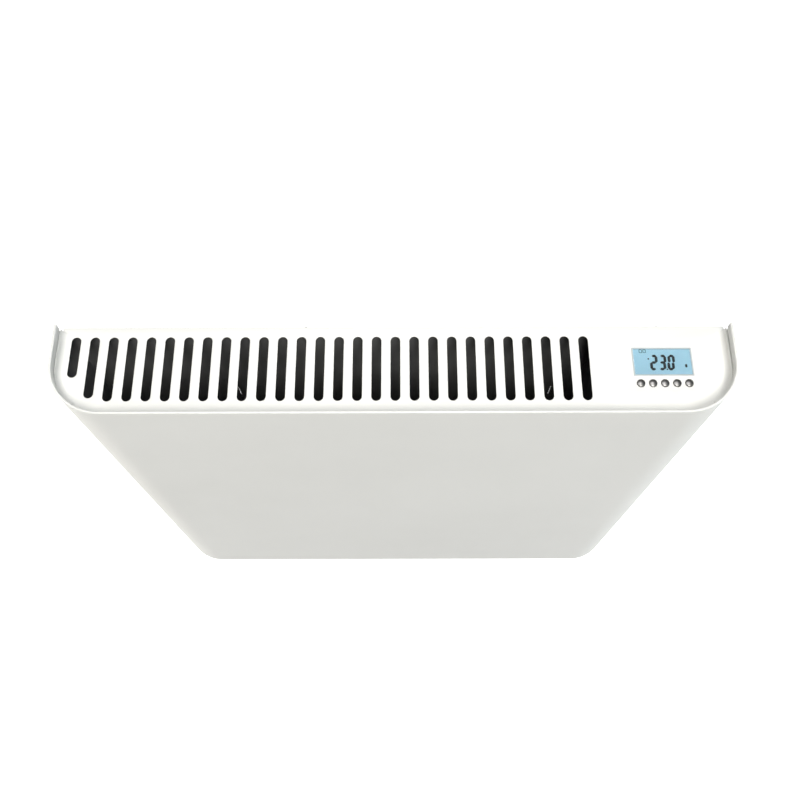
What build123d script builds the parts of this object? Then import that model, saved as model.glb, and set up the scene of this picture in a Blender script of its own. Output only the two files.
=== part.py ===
"""Wall panel convector heater.

Frame: X to the right along the wall, Y towards the wall, Z up. The wall is the plane Y = 0 and
the origin is the centre of the four wall bolts. All sizes are in millimetres.
"""
import os
from math import sqrt

from build123d import *

# ---------------------------------------------------------------- driving dimensions
# Casing: one sheet with a flat front, two rounded corners and a hemmed top rim.
casing_width = 600.0
casing_height = 580.0
casing_depth = 85.0
corner_radius = 50.0
casing_sheet = 1.0
casing_lip = 14.0
hem_gap = 0.6
hem_drop = 8.0
bend_radius = 2.0

# Rear part and how it stands off the wall.
bracket_depth = 14.0
rear_step = 8.0
tray_sheet = 0.8
tray_flange = 36.0
bolt_centre_height = 290.0
sheet_fit = 0.3

# Top grille, set down inside the rim.
recess_depth = 23.0
grille_sheet = 0.8
grille_turn_down = 12.0
sheet_inner_bend = 0.7
upstand_height = 10.0
upstand_corner = 8.0
upstand_setback = 2.0
upstand_turn = 45.0
slot_width = 8.0
slot_pitch = 16.95
slot_left_margin = 13.0
slot_right_margin = 125.0
slot_front_margin = 21.0
slot_rear_margin = 2.0
slot_corner_margin = 42.0
slot_corner_radius = 23.0
inlet_slot_margin = 50.0
inlet_slot_length = 54.0
inlet_slot_pitch = 25.0
inlet_slot_width = 12.0

# Display and keys in the right-hand end of the grille.
control_margin = 59.2
window_width = 53.8
window_length = 27.6
window_front_margin = 44.0
key_front_margin = 36.7
key_count = 5
key_pitch = 10.7
key_radius = 3.6
key_height = 1.8
key_dome = 0.6
key_collar = 0.8
key_collar_thickness = 0.8
key_travel = 0.5
key_fit = 0.2
plunger_radius = 1.7
plunger_length = 2.4
switch_size = 6.2
switch_height = 3.5
bezel_wall = 1.1
bezel_stand = 0.2
bezel_flange = 2.0
bezel_depth = 3.0
bezel_chamfer = 0.15
lens_thickness = 1.0
cell_thickness = 2.2
display_fit = 0.1
board_thickness = 1.6
carrier_wall = 1.6
carrier_floor_drop = 9.0
carrier_ear = 8.0
carrier_ear_width = 12.0
stud_spacing = 30.0
stud_radius = 1.5
stud_length = 7.0
nut_radius = 3.2
nut_height = 2.4
lens_drop = 0.1
board_margin = 6.5
board_corner = 3.0
ribbon_width = 12.0
ribbon_thickness = 1.0
ribbon_bend = 6.0
ribbon_drop = 50.0

# Wall bracket.
bolt_spacing_x = 300.0
bolt_spacing_z = 300.0
bolt_hole_radius = 3.2
upright_width = 28.0
upright_height = 400.0
upright_sheet = 1.5
rail_height = 32.0
rail_flange = 9.0
hook_spacing_z = 260.0
hook_neck = 8.0
hook_rise = 10.0
hook_reach = 6.0
hook_fit = 0.5
hook_side_gap = 1.2
hook_slot_spare = 1.0
hook_corner = 1.5
upright_bend = 2.5
lift_travel = 12.0

# Heating element and what holds it.
element_radius = 9.0
element_arm_length = 34.0
element_arm = 2.0
element_rib = 1.4
element_rib_width = 7.0
element_bottom_margin = 110.0
sheath_radius = 4.0
sheath_overhang = 16.0
duct_end_margin = 50.0
duct_end_gap = 20.0
end_bracket_gap = 4.0
bush_radius = 8.0
bush_flange = 3.0
bush_length = 9.0
pin_radius = 1.6
pin_length = 10.0
element_angle = 62.0
element_rib_count = 4
element_rib_pitch = 7.0
end_bracket_width = 32.0
partition_margin = 112.0
partition_gap = 2.0
pass_radius = 8.0
ring_lip = 1.5
ledge_reach = 12.0
ledge_height = 18.0
ledge_inner_bend = 0.2
ledge_end_gap = 15.0
cutout_height = 90.0
cutout_end_margin = 60.0
cutout_plate_length = 26.0
cutout_plate_width = 10.0
cutout_radius = 8.0
cutout_depth = 9.0
blade_pitch = 8.0
blade_width = 6.3
blade_thickness = 0.8
blade_length = 7.0
inner_sheet = 0.8
foot_width = 14.0
shield_stand = 8.0
shield_drop = 20.0
shield_height = 190.0

# Electronics and wiring.
power_board_width = 72.0
power_board_height = 120.0
power_board_rise = 150.0
standoff_radius = 3.0
standoff_length = 10.0
lead_radius = 1.3
lead_bend = 9.0
lead_gap = 3.4
earth_stud_length = 8.0
screw_radius = 2.0
screw_head_ratio = 1.9
screw_head_rise = 1.1
screw_length = 8.0
thread_fit = 0.05
small_screw_radius = 1.5
small_screw_length = 6.0
socket_drop = 4.0
socket_height = 8.0
socket_depth = 7.0
relay_width = 19.0
relay_height = 15.0
relay_depth = 16.0
transformer_width = 30.0
transformer_height = 26.0
transformer_depth = 22.0
winding_width = 18.0
winding_stand = 4.0
relay_chamfer = 1.0
way_pitch = 8.0
way_well_radius = 2.2
block_height = 14.0
block_depth = 13.0
casing_screw_count = 4
casing_screw_margin = 60.0
rear_screw_count = 4
rear_screw_margin = 60.0
grommet_radius = 7.0
grommet_height = 40.0
vent_count = 5
vent_pitch = 16.0
vent_length = 60.0
vent_width = 4.0
vent_margin = 160.0

# ---------------------------------------------------------------- derived places
half_width = casing_width / 2
tray_rear_y = -bracket_depth
tray_inner_y = tray_rear_y - tray_sheet
casing_rear_y = tray_rear_y - rear_step
casing_front_y = casing_rear_y - casing_depth
casing_inner_y = casing_front_y + casing_sheet
casing_bottom_z = -bolt_centre_height
casing_top_z = casing_bottom_z + casing_height
hem_thickness = 2 * casing_sheet + hem_gap

grille_z = casing_top_z - recess_depth
grille_under_z = grille_z - grille_sheet
inside_half_width = half_width - casing_sheet - sheet_fit
inside_corner_radius = corner_radius - casing_sheet - sheet_fit
inside_front_y = casing_inner_y + sheet_fit
inlet_bottom_z = casing_bottom_z + casing_sheet
inlet_top_z = inlet_bottom_z + inner_sheet
tray_bottom_z = inlet_top_z + bend_radius
joggle_y = casing_rear_y + sheet_fit

slot_rear_y = casing_rear_y - slot_rear_margin
corner_centre_x = half_width - corner_radius
corner_centre_y = casing_front_y + corner_radius

casing_screw_y = casing_front_y + (casing_sheet + casing_lip) / 2
casing_screw_pitch = (casing_width - 2 * casing_screw_margin) / (casing_screw_count - 1)
rear_screw_pitch = (casing_width - 2 * rear_screw_margin) / (rear_screw_count - 1)
grommet_z = casing_bottom_z + grommet_height
vent_z = grille_under_z - vent_margin
power_board_z = casing_bottom_z + power_board_rise + power_board_height / 2
relay_x = -power_board_width / 4
relay_z = -power_board_height / 8
transformer_x = power_board_width / 5
transformer_z = power_board_height / 6
block_x = 0.0
block_z = -power_board_height / 2 + block_height

control_x = half_width - control_margin
window_y = casing_front_y + window_front_margin + window_length / 2
key_y = casing_front_y + key_front_margin
ribbon_top_y = window_y
ribbon_turn_z = grille_under_z - ribbon_drop
key_xs = [control_x + (i - (key_count - 1) / 2) * key_pitch for i in range(key_count)]

partition_x = half_width - partition_margin
element_z = casing_bottom_z + element_bottom_margin
element_y = (casing_inner_y + tray_inner_y) / 2
duct_left_x = -inside_half_width + duct_end_margin
duct_right_x = partition_x - duct_end_gap
element_ends = {-1: duct_left_x - end_bracket_gap, 1: duct_right_x + end_bracket_gap}
shield_y = tray_inner_y - shield_stand
shield_bottom_z = element_z - element_arm_length - shield_drop


def sheet_section(plane, points, bends, sheet, side=Side.RIGHT):
    """Cross-section of a sheet bent along an outer line, thickened towards one side."""
    with BuildSketch(plane) as section:
        with BuildLine():
            FilletPolyline(*points, radius=bends)
            offset(amount=sheet, side=side)
        make_face()
    return section.sketch


def write(part, label):
    """Give a finished piece its name and store it."""
    part.label = label
    export_step(part, f"parts/{label}.step")


os.makedirs("parts", exist_ok=True)

# ---------------------------------------------------------------- front casing
# The whole shell is one section, with its lip below and its hem above, swept round the plan.
section_plane = Plane(origin=(-half_width, casing_rear_y, casing_bottom_z), x_dir=(1, 0, 0), z_dir=(0, -1, 0))
hem_start = casing_height - hem_thickness / 2

with BuildPart() as front_casing:
    with BuildSketch(section_plane) as casing_section:
        with BuildLine():
            FilletPolyline((casing_lip, 0), (0, 0), (0, hem_start), radius=bend_radius)
            TangentArc((0, hem_start), (hem_thickness, hem_start), tangent=(0, 1))
            Line((hem_thickness, hem_start), (hem_thickness, casing_height - hem_drop))
            offset(amount=casing_sheet, side=Side.RIGHT)
        make_face()
    with BuildLine() as casing_plan:
        FilletPolyline(
            (-half_width, casing_rear_y, casing_bottom_z),
            (-half_width, casing_front_y, casing_bottom_z),
            (half_width, casing_front_y, casing_bottom_z),
            (half_width, casing_rear_y, casing_bottom_z),
            radius=corner_radius,
        )
    sweep(casing_section.sketch, path=casing_plan.wires()[0])
    # Screw holes through the bottom lip.
    with BuildSketch(Plane.XY.offset(casing_bottom_z)):
        with Locations((0, casing_screw_y)):
            with GridLocations(casing_screw_pitch, 0, casing_screw_count, 1):
                Circle(screw_radius + sheet_fit)
    extrude(amount=casing_sheet, mode=Mode.SUBTRACT)
write(front_casing.part, "front_casing")

# ---------------------------------------------------------------- back panel
# A tray: the back sheet, side walls as wide as the casing, and flanges that step inside it.
side_bend = tray_sheet + sheet_inner_bend
tray_plan = [
    (-inside_half_width, joggle_y - tray_flange),
    (-inside_half_width, joggle_y),
    (-half_width, joggle_y + casing_sheet + sheet_fit),
    (-half_width, tray_rear_y),
    (half_width, tray_rear_y),
    (half_width, joggle_y + casing_sheet + sheet_fit),
    (inside_half_width, joggle_y),
    (inside_half_width, joggle_y - tray_flange),
]
tray_bends = [0, 0, side_bend, side_bend, 0, 0]
hook_x = (bolt_spacing_x + upright_width - upright_sheet) / 2
hook_zs = [-hook_spacing_z / 2, hook_spacing_z / 2]
hook_slot_width = upright_sheet + 2 * hook_side_gap
hook_slot_height = hook_neck + lift_travel + hook_slot_spare
grille_screw_z = grille_under_z - grille_turn_down / 2
inlet_screw_z = inlet_top_z + grille_turn_down / 2

with BuildPart() as back_panel:
    extrude(
        sheet_section(Plane.XY.offset(tray_bottom_z), tray_plan, tray_bends, tray_sheet),
        amount=grille_under_z - tray_bottom_z,
    )
    rear_face = Plane(origin=(0, tray_rear_y, 0), x_dir=(1, 0, 0), z_dir=(0, -1, 0))
    with BuildSketch(rear_face):
        # Slots that drop over the bracket's hooks.
        for z in hook_zs:
            with Locations((-hook_x, z), (hook_x, z)):
                Rectangle(hook_slot_width, hook_slot_height, align=(Align.CENTER, Align.MAX))
        # Holes for the screws that hold both grilles.
        for z in (grille_screw_z, inlet_screw_z):
            with Locations((0, z)):
                with GridLocations(rear_screw_pitch, 0, rear_screw_count, 1):
                    Circle(screw_radius + thread_fit)
        with Locations((control_x, grommet_z)):
            Circle(grommet_radius)
        # Cooling slots behind the electronics.
        with Locations((control_x, vent_z)):
            with GridLocations(0, vent_pitch, 1, vent_count):
                SlotOverall(vent_length, vent_width)
    extrude(amount=tray_sheet, mode=Mode.SUBTRACT)
write(back_panel.part, "back_panel")

# ---------------------------------------------------------------- top grille
# The plate reaches the tray's rear face, is notched to the casing's inside width in front of it,
# and follows the casing's rounded corners. Its slots end on a line with rounded corners too.
first_slot_x = slot_left_margin - half_width
slot_count = int((casing_width - slot_left_margin - slot_right_margin) / slot_pitch) + 1
slot_xs = [first_slot_x + i * slot_pitch for i in range(slot_count)]
slot_front_y = casing_front_y + slot_front_margin
slot_centre_x = half_width - slot_corner_margin


def slot_front(x):
    """Front end of the slot at x: the common line, which curves back near both sides."""
    past_centre = max(abs(x) - slot_centre_x, 0)
    return slot_front_y + slot_corner_radius - sqrt(max(slot_corner_radius**2 - past_centre**2, 0))


with BuildPart() as top_grille:
    with BuildSketch(Plane.XY.offset(grille_under_z)) as plate_outline:
        with Locations((0, inside_front_y)):
            Rectangle(2 * inside_half_width, tray_rear_y - inside_front_y, align=(Align.CENTER, Align.MIN))
        fillet(plate_outline.vertices().group_by(Axis.Y)[0], radius=inside_corner_radius)
        with Locations((0, tray_rear_y)):
            Rectangle(casing_width, tray_rear_y - joggle_y, align=(Align.CENTER, Align.MAX))
        for x in slot_xs:
            with Locations((x, (slot_front(x) + slot_rear_y) / 2)):
                SlotOverall(slot_rear_y - slot_front(x), slot_width, rotation=90, mode=Mode.SUBTRACT)
        with Locations((control_x, window_y)):
            Rectangle(window_width, window_length, mode=Mode.SUBTRACT)
        with Locations(*[(x, key_y) for x in key_xs]):
            Circle(key_radius + key_fit, mode=Mode.SUBTRACT)
    extrude(amount=grille_sheet)
    # Front edge turned down, between the rounded corners.
    with BuildSketch(Plane.XY.offset(grille_under_z)):
        with Locations((0, inside_front_y)):
            Rectangle(2 * corner_centre_x, grille_sheet, align=(Align.CENTER, Align.MIN))
    extrude(amount=-grille_turn_down)
    # Rear edge turned down inside the tray.
    with BuildSketch(Plane.XY.offset(grille_under_z)):
        with Locations((0, tray_inner_y)):
            Rectangle(2 * corner_centre_x, grille_sheet, align=(Align.CENTER, Align.MAX))
    extrude(amount=-grille_turn_down)
    # Sides turned up against the casing and led some way round its corners.
    for side, first_angle in ((-1, 180), (1, 0)):
        with BuildSketch(Plane.XY.offset(grille_under_z)):
            with BuildLine():
                Line(
                    (side * inside_half_width, casing_rear_y - upstand_setback),
                    (side * inside_half_width, corner_centre_y),
                )
                CenterArc(
                    (side * corner_centre_x, corner_centre_y),
                    inside_corner_radius,
                    first_angle,
                    -side * upstand_turn,
                )
                offset(amount=grille_sheet, side=Side.RIGHT if side > 0 else Side.LEFT)
            make_face()
        extrude(amount=grille_sheet + upstand_height)
    # Rounded upper corners at the upstands' rear ends.
    upstand_ends = top_grille.edges().filter_by(Axis.X).group_by(Axis.Z)[-1].group_by(Axis.Y)[-1]
    fillet(upstand_ends, radius=upstand_corner)
    # Screw holes in the rear edge.
    with BuildSketch(Plane(origin=(0, tray_inner_y, 0), x_dir=(1, 0, 0), z_dir=(0, -1, 0))):
        with Locations((0, grille_screw_z)):
            with GridLocations(rear_screw_pitch, 0, rear_screw_count, 1):
                Circle(screw_radius + thread_fit)
    extrude(amount=grille_sheet, mode=Mode.SUBTRACT)
write(top_grille.part, "top_grille")

# ---------------------------------------------------------------- inlet grille
# The floor of the casing: it rests on the casing's lip and turns up inside the tray.
inlet_slot_count = int((casing_width - 2 * inlet_slot_margin) / inlet_slot_pitch) + 1
inlet_setback = bend_radius - casing_sheet + sheet_fit
inlet_half_width = half_width - casing_sheet - inlet_setback
inlet_front_y = casing_inner_y + inlet_setback
inlet_corner_radius = corner_radius - casing_sheet - inlet_setback

with BuildPart() as inlet_grille:
    with BuildSketch(Plane.XY.offset(inlet_bottom_z)) as inlet_outline:
        with Locations((0, inlet_front_y)):
            Rectangle(2 * inlet_half_width, tray_inner_y - inlet_front_y, align=(Align.CENTER, Align.MIN))
        fillet(inlet_outline.vertices().group_by(Axis.Y)[0], radius=inlet_corner_radius)
        with Locations((0, (casing_front_y + tray_inner_y) / 2)):
            with GridLocations(inlet_slot_pitch, 0, inlet_slot_count, 1):
                Rectangle(inlet_slot_width, inlet_slot_length, mode=Mode.SUBTRACT)
        with Locations((0, casing_screw_y)):
            with GridLocations(casing_screw_pitch, 0, casing_screw_count, 1):
                Circle(screw_radius + thread_fit, mode=Mode.SUBTRACT)
    extrude(amount=inner_sheet)
    with BuildSketch(Plane.XY.offset(inlet_top_z)):
        with Locations((0, tray_inner_y)):
            Rectangle(2 * corner_centre_x, inner_sheet, align=(Align.CENTER, Align.MAX))
    extrude(amount=grille_turn_down)
    with BuildSketch(Plane(origin=(0, tray_inner_y, 0), x_dir=(1, 0, 0), z_dir=(0, -1, 0))):
        with Locations((0, inlet_screw_z)):
            with GridLocations(rear_screw_pitch, 0, rear_screw_count, 1):
                Circle(screw_radius + thread_fit)
    extrude(amount=inner_sheet, mode=Mode.SUBTRACT)
write(inlet_grille.part, "inlet_grille")

# ---------------------------------------------------------------- ledge under the grille's front edge
ledge_half_width = corner_centre_x - ledge_end_gap
ledge_bend = inner_sheet + ledge_inner_bend
ledge_top_z = grille_under_z - grille_turn_down
ledge_points = [
    (casing_inner_y + ledge_reach, ledge_top_z),
    (casing_inner_y, ledge_top_z),
    (casing_inner_y, ledge_top_z - ledge_height),
]
with BuildPart() as front_ledge:
    extrude(
        sheet_section(Plane.YZ.offset(-ledge_half_width), ledge_points, ledge_bend, inner_sheet, Side.LEFT),
        amount=2 * ledge_half_width,
    )
write(front_ledge.part, "front_ledge")

# ---------------------------------------------------------------- partition
# Closes the warm duct off from the electronics, notched round the ledge and the turned edges.
partition_bottom_z = inlet_top_z + grille_turn_down + partition_gap
partition_plan = [
    (partition_x, casing_inner_y + partition_gap),
    (partition_x, tray_inner_y),
    (partition_x + foot_width, tray_inner_y),
]
lead_pass_y = shield_y - inner_sheet - cutout_depth - blade_length / 2
lead_pass_z = element_z + cutout_height
with BuildPart() as partition_plate:
    extrude(
        sheet_section(Plane.XY.offset(partition_bottom_z), partition_plan, side_bend, inner_sheet),
        amount=grille_under_z - partition_gap - partition_bottom_z,
    )
    with BuildSketch(Plane.YZ.offset(partition_x)):
        # Notches at the ledge and at the grille's rear edge.
        with Locations((casing_inner_y, grille_under_z)):
            Rectangle(
                ledge_reach + partition_gap,
                2 * (grille_turn_down + ledge_height + partition_gap),
                align=(Align.MIN, Align.CENTER),
            )
        with Locations((tray_inner_y, grille_under_z)):
            Rectangle(
                2 * (grille_sheet + partition_gap),
                2 * (grille_turn_down + partition_gap),
            )
        # Ways through for the element's end and for the leads.
        with Locations((element_y, element_z), (lead_pass_y, lead_pass_z)):
            Circle(pass_radius)
    extrude(amount=foot_width, both=True, mode=Mode.SUBTRACT)
write(partition_plate.part, "partition_plate")

# A rubber ring lines the hole that the leads go through.
with BuildPart() as partition_bush:
    with BuildSketch(Plane.YZ.offset(partition_x - ring_lip)):
        with Locations((lead_pass_y, lead_pass_z)):
            Circle(pass_radius + ring_lip)
    extrude(amount=2 * ring_lip + inner_sheet)
    with BuildSketch(Plane.YZ.offset(partition_x)):
        with Locations((lead_pass_y, lead_pass_z)):
            Circle(pass_radius + 2 * ring_lip)
            Circle(pass_radius - thread_fit, mode=Mode.SUBTRACT)
    extrude(amount=inner_sheet, mode=Mode.SUBTRACT)
    with BuildSketch(Plane.YZ.offset(partition_x - ring_lip)):
        with Locations((lead_pass_y, lead_pass_z)):
            Circle(pass_radius - ring_lip)
    extrude(amount=2 * ring_lip + inner_sheet, mode=Mode.SUBTRACT)
write(partition_bush.part, "partition_bush")

# ---------------------------------------------------------------- heat shield
# A hat-shaped sheet that keeps the element's heat off the back panel.
shield_top_z = shield_bottom_z + shield_height
shield_points = [
    (tray_inner_y, shield_bottom_z),
    (tray_inner_y, shield_bottom_z + foot_width),
    (shield_y, shield_bottom_z + foot_width),
    (shield_y, shield_top_z - foot_width),
    (tray_inner_y, shield_top_z - foot_width),
    (tray_inner_y, shield_top_z),
]
with BuildPart() as heat_shield:
    extrude(
        sheet_section(Plane.YZ.offset(duct_left_x), shield_points, side_bend, inner_sheet, Side.LEFT),
        amount=duct_right_x - duct_left_x,
    )
write(heat_shield.part, "heat_shield")

# ---------------------------------------------------------------- heating element
# An extruded body with four ribbed arms in an X, on a tubular sheath.
body_left_x = element_ends[-1] + bush_flange + end_bracket_gap
body_right_x = element_ends[1] - bush_flange - end_bracket_gap
with BuildPart() as element_body:
    with BuildSketch(Plane.YZ.offset(body_left_x)):
        with Locations((element_y, element_z)):
            Circle(element_radius)
            for angle in (element_angle, 180 - element_angle, 180 + element_angle, -element_angle):
                with PolarLocations(element_arm_length / 2, 1, start_angle=angle):
                    Rectangle(element_arm_length, element_arm)
                for i in range(element_rib_count):
                    reach = element_arm_length - element_rib / 2 - i * element_rib_pitch
                    with PolarLocations(reach, 1, start_angle=angle):
                        Rectangle(element_rib, element_rib_width)
            Circle(sheath_radius + thread_fit, mode=Mode.SUBTRACT)
    extrude(amount=body_right_x - body_left_x)
write(element_body.part, "element_body")

sheath_left_x = element_ends[-1] - sheath_overhang
sheath_right_x = element_ends[1] + sheath_overhang
with BuildPart() as element_sheath:
    with BuildSketch(Plane.YZ.offset(sheath_left_x)):
        with Locations((element_y, element_z)):
            Circle(sheath_radius)
    extrude(amount=sheath_right_x - sheath_left_x)
write(element_sheath.part, "element_sheath")

# Terminal pins with a flat blade, at both ends of the sheath.
with BuildPart() as terminal_pins:
    for end_x, outward in ((sheath_left_x, -1), (sheath_right_x, 1)):
        with BuildSketch(Plane.YZ.offset(end_x)):
            with Locations((element_y, element_z)):
                Circle(pin_radius)
        extrude(amount=outward * pin_length)
write(terminal_pins.part, "terminal_pins")


def end_bracket(outward):
    """Angle that carries one end of the element: its foot points away from the duct."""
    face_x = element_ends[outward]
    plan = [
        (face_x, element_y - end_bracket_width / 2),
        (face_x, tray_inner_y),
        (face_x + outward * foot_width, tray_inner_y),
    ]
    side = Side.RIGHT if outward > 0 else Side.LEFT
    base = Plane.XY.offset(element_z - end_bracket_width / 2)
    with BuildPart() as bracket:
        extrude(sheet_section(base, plan, side_bend, inner_sheet, side), amount=end_bracket_width)
        with BuildSketch(Plane.YZ.offset(face_x)):
            with Locations((element_y, element_z)):
                Circle(bush_radius + thread_fit)
        extrude(amount=outward * inner_sheet, mode=Mode.SUBTRACT)
    return bracket.part


def ceramic_bush(outward):
    """Stepped ring between sheath and bracket, with its flange towards the element's body."""
    face_x = element_ends[outward]
    with BuildPart() as bush:
        with BuildSketch(Plane.YZ.offset(face_x)):
            with Locations((element_y, element_z)):
                Circle(bush_radius + bush_flange)
        extrude(amount=-outward * bush_flange)
        with BuildSketch(Plane.YZ.offset(face_x)):
            with Locations((element_y, element_z)):
                Circle(bush_radius)
        extrude(amount=outward * (bush_length - bush_flange))
        with BuildSketch(Plane.YZ.offset(face_x)):
            with Locations((element_y, element_z)):
                Circle(sheath_radius + thread_fit)
        extrude(amount=bush_length, both=True, mode=Mode.SUBTRACT)
    return bush.part


for name, outward in (("left", -1), ("right", 1)):
    write(end_bracket(outward), f"element_bracket_{name}")
    write(ceramic_bush(outward), f"element_bush_{name}")

# ---------------------------------------------------------------- thermal cut-out
# A disc on an eared plate, on the heat shield above the element, with two blades.
cutout_x = duct_right_x - cutout_end_margin
cutout_face_y = shield_y - inner_sheet
cutout_plane = Plane(origin=(cutout_x, cutout_face_y, lead_pass_z), x_dir=(1, 0, 0), z_dir=(0, -1, 0))
with BuildPart() as thermal_cutout:
    with BuildSketch(cutout_plane):
        SlotOverall(cutout_plate_length, cutout_plate_width)
    extrude(amount=inner_sheet)
    with BuildSketch(cutout_plane):
        Circle(cutout_radius)
    extrude(amount=cutout_depth)
    with BuildSketch(cutout_plane.offset(cutout_depth)):
        with GridLocations(blade_pitch, 0, 2, 1):
            Rectangle(blade_thickness, blade_width)
    extrude(amount=blade_length)
write(thermal_cutout.part, "thermal_cutout")

# ---------------------------------------------------------------- display
# Everything in the window is stacked down from the grille's face.
bezel_width = window_width - 2 * display_fit
bezel_length = window_length - 2 * display_fit
glass_width = bezel_width - 2 * bezel_wall - 2 * display_fit
glass_length = bezel_length - 2 * bezel_wall - 2 * display_fit
collar_bottom_z = grille_under_z - key_collar_thickness
switch_top_z = collar_bottom_z - key_travel - thread_fit
board_top_z = switch_top_z - switch_height
board_bottom_z = board_top_z - board_thickness
lens_top_z = grille_z - lens_drop
cell_top_z = lens_top_z - lens_thickness
backlight_top_z = cell_top_z - cell_thickness
board_length = window_y + window_length / 2 + board_margin - (key_y - board_margin)
board_y = key_y - board_margin + board_length / 2
board_width = window_width + 2 * board_margin


def slab(top_z, width, length, thickness):
    """A flat rectangular layer of the display, centred on the window."""
    with BuildPart() as layer:
        with BuildSketch(Plane.XY.offset(top_z)):
            with Locations((control_x, window_y)):
                Rectangle(width, length)
        extrude(amount=-thickness)
    return layer.part


with BuildPart() as display_bezel:
    with BuildSketch(Plane.XY.offset(grille_z + bezel_stand)):
        with Locations((control_x, window_y)):
            Rectangle(bezel_width, bezel_length)
            Rectangle(bezel_width - 2 * bezel_wall, bezel_length - 2 * bezel_wall, mode=Mode.SUBTRACT)
    extrude(amount=-bezel_stand - bezel_depth)
    chamfer(display_bezel.faces().sort_by(Axis.Z)[-1].outer_wire().edges(), length=bezel_chamfer)
    with BuildSketch(Plane.XY.offset(grille_under_z)):
        with Locations((control_x, window_y)):
            Rectangle(bezel_width + 2 * bezel_flange, bezel_length + 2 * bezel_flange)
            Rectangle(bezel_width - 2 * bezel_wall, bezel_length - 2 * bezel_wall, mode=Mode.SUBTRACT)
    extrude(amount=grille_z - bezel_depth - grille_under_z)
write(display_bezel.part, "display_bezel")
write(slab(lens_top_z, glass_width, glass_length, lens_thickness), "display_lens")
write(slab(cell_top_z, glass_width, glass_length, cell_thickness), "display_cell")
write(slab(backlight_top_z, glass_width, glass_length, backlight_top_z - board_top_z), "display_backlight")

with BuildPart() as display_board:
    with BuildSketch(Plane.XY.offset(board_top_z)):
        with Locations((control_x, board_y)):
            RectangleRounded(board_width, board_length, radius=board_corner)
    extrude(amount=-board_thickness)
write(display_board.part, "display_board")

# ---------------------------------------------------------------- tact switches and keys
plunger_bottom_z = collar_bottom_z - plunger_length
with BuildPart() as tact_switches:
    with BuildSketch(Plane.XY.offset(board_top_z)):
        with Locations(*[(x, key_y) for x in key_xs]):
            Rectangle(switch_size, switch_size)
    extrude(amount=switch_height)
    with BuildSketch(Plane.XY.offset(switch_top_z)):
        with Locations(*[(x, key_y) for x in key_xs]):
            Circle(plunger_radius + thread_fit)
    extrude(amount=plunger_bottom_z - key_travel - key_fit - switch_top_z, mode=Mode.SUBTRACT)
write(tact_switches.part, "tact_switches")


def key_cap(x):
    """Round key with a domed face and a collar that stops it under the grille."""
    with BuildPart() as cap:
        with BuildSketch(Plane(origin=(x, key_y, 0), x_dir=(1, 0, 0), z_dir=(0, -1, 0))):
            with BuildLine():
                rim_z = grille_z + key_height - key_dome
                Polyline(
                    (0, rim_z + key_dome),
                    (0, collar_bottom_z),
                    (key_radius + key_collar, collar_bottom_z),
                    (key_radius + key_collar, grille_under_z),
                    (key_radius, grille_under_z),
                    (key_radius, rim_z),
                )
                RadiusArc((key_radius, rim_z), (0, rim_z + key_dome), radius=-dome_radius)
            make_face()
        revolve(axis=Axis((x, key_y, 0), (0, 0, 1)))
    return cap.part


def key_plunger(x):
    """Plunger of the tact switch below a key."""
    with BuildPart() as plunger:
        with BuildSketch(Plane.XY.offset(plunger_bottom_z)):
            with Locations((x, key_y)):
                Circle(plunger_radius)
        extrude(amount=plunger_length)
    return plunger.part


dome_radius = (key_radius**2 + key_dome**2) / (2 * key_dome)
for number, x in enumerate(key_xs, start=1):
    write(key_cap(x), f"key_{number}")
    write(key_plunger(x), f"key_plunger_{number}")

# ---------------------------------------------------------------- control carrier
# A plastic tray under the grille that holds the display board, hung from four welded studs.
carrier_inner_width = board_width + 2 * sheet_fit
carrier_inner_length = board_length + 2 * sheet_fit
carrier_width = carrier_inner_width + 2 * carrier_wall
carrier_length = carrier_inner_length + 2 * carrier_wall
carrier_bottom_z = board_bottom_z - carrier_floor_drop - carrier_wall
ear_pitch_x = carrier_width + carrier_ear
stud_pitch_x = ear_pitch_x + carrier_ear / 2

with BuildPart() as control_carrier:
    with BuildSketch(Plane.XY.offset(carrier_bottom_z)):
        with Locations((control_x, board_y)):
            RectangleRounded(carrier_width, carrier_length, radius=board_corner + carrier_wall)
    extrude(amount=grille_under_z - carrier_bottom_z)
    with BuildSketch(Plane.XY.offset(grille_under_z)):
        with Locations((control_x, board_y)):
            with GridLocations(ear_pitch_x, stud_spacing, 2, 2):
                Rectangle(2 * carrier_ear, carrier_ear_width)
    extrude(amount=-carrier_wall)
    with BuildSketch(Plane.XY.offset(grille_under_z)):
        with Locations((control_x, board_y)):
            RectangleRounded(carrier_inner_width, carrier_inner_length, radius=board_corner)
    extrude(amount=carrier_bottom_z + carrier_wall - grille_under_z, mode=Mode.SUBTRACT)
    # Corner posts under the board, the ribbon's way out and the stud holes.
    with BuildSketch(Plane.XY.offset(carrier_bottom_z + carrier_wall)):
        with Locations((control_x, board_y)):
            with GridLocations(board_width - 2 * board_corner, board_length - 2 * board_corner, 2, 2):
                Rectangle(2 * board_corner, 2 * board_corner)
    extrude(amount=board_bottom_z - carrier_bottom_z - carrier_wall)
    with BuildSketch(Plane.XY.offset(carrier_bottom_z)):
        with Locations((control_x, ribbon_top_y)):
            Rectangle(ribbon_width + 2 * partition_gap, ribbon_thickness + 2 * partition_gap)
    extrude(amount=carrier_wall, mode=Mode.SUBTRACT)
    with BuildSketch(Plane.XY.offset(grille_under_z)):
        with Locations((control_x, board_y)):
            with GridLocations(stud_pitch_x, stud_spacing, 2, 2):
                Circle(stud_radius + key_fit)
    extrude(amount=-carrier_wall, mode=Mode.SUBTRACT)
write(control_carrier.part, "control_carrier")

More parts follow.
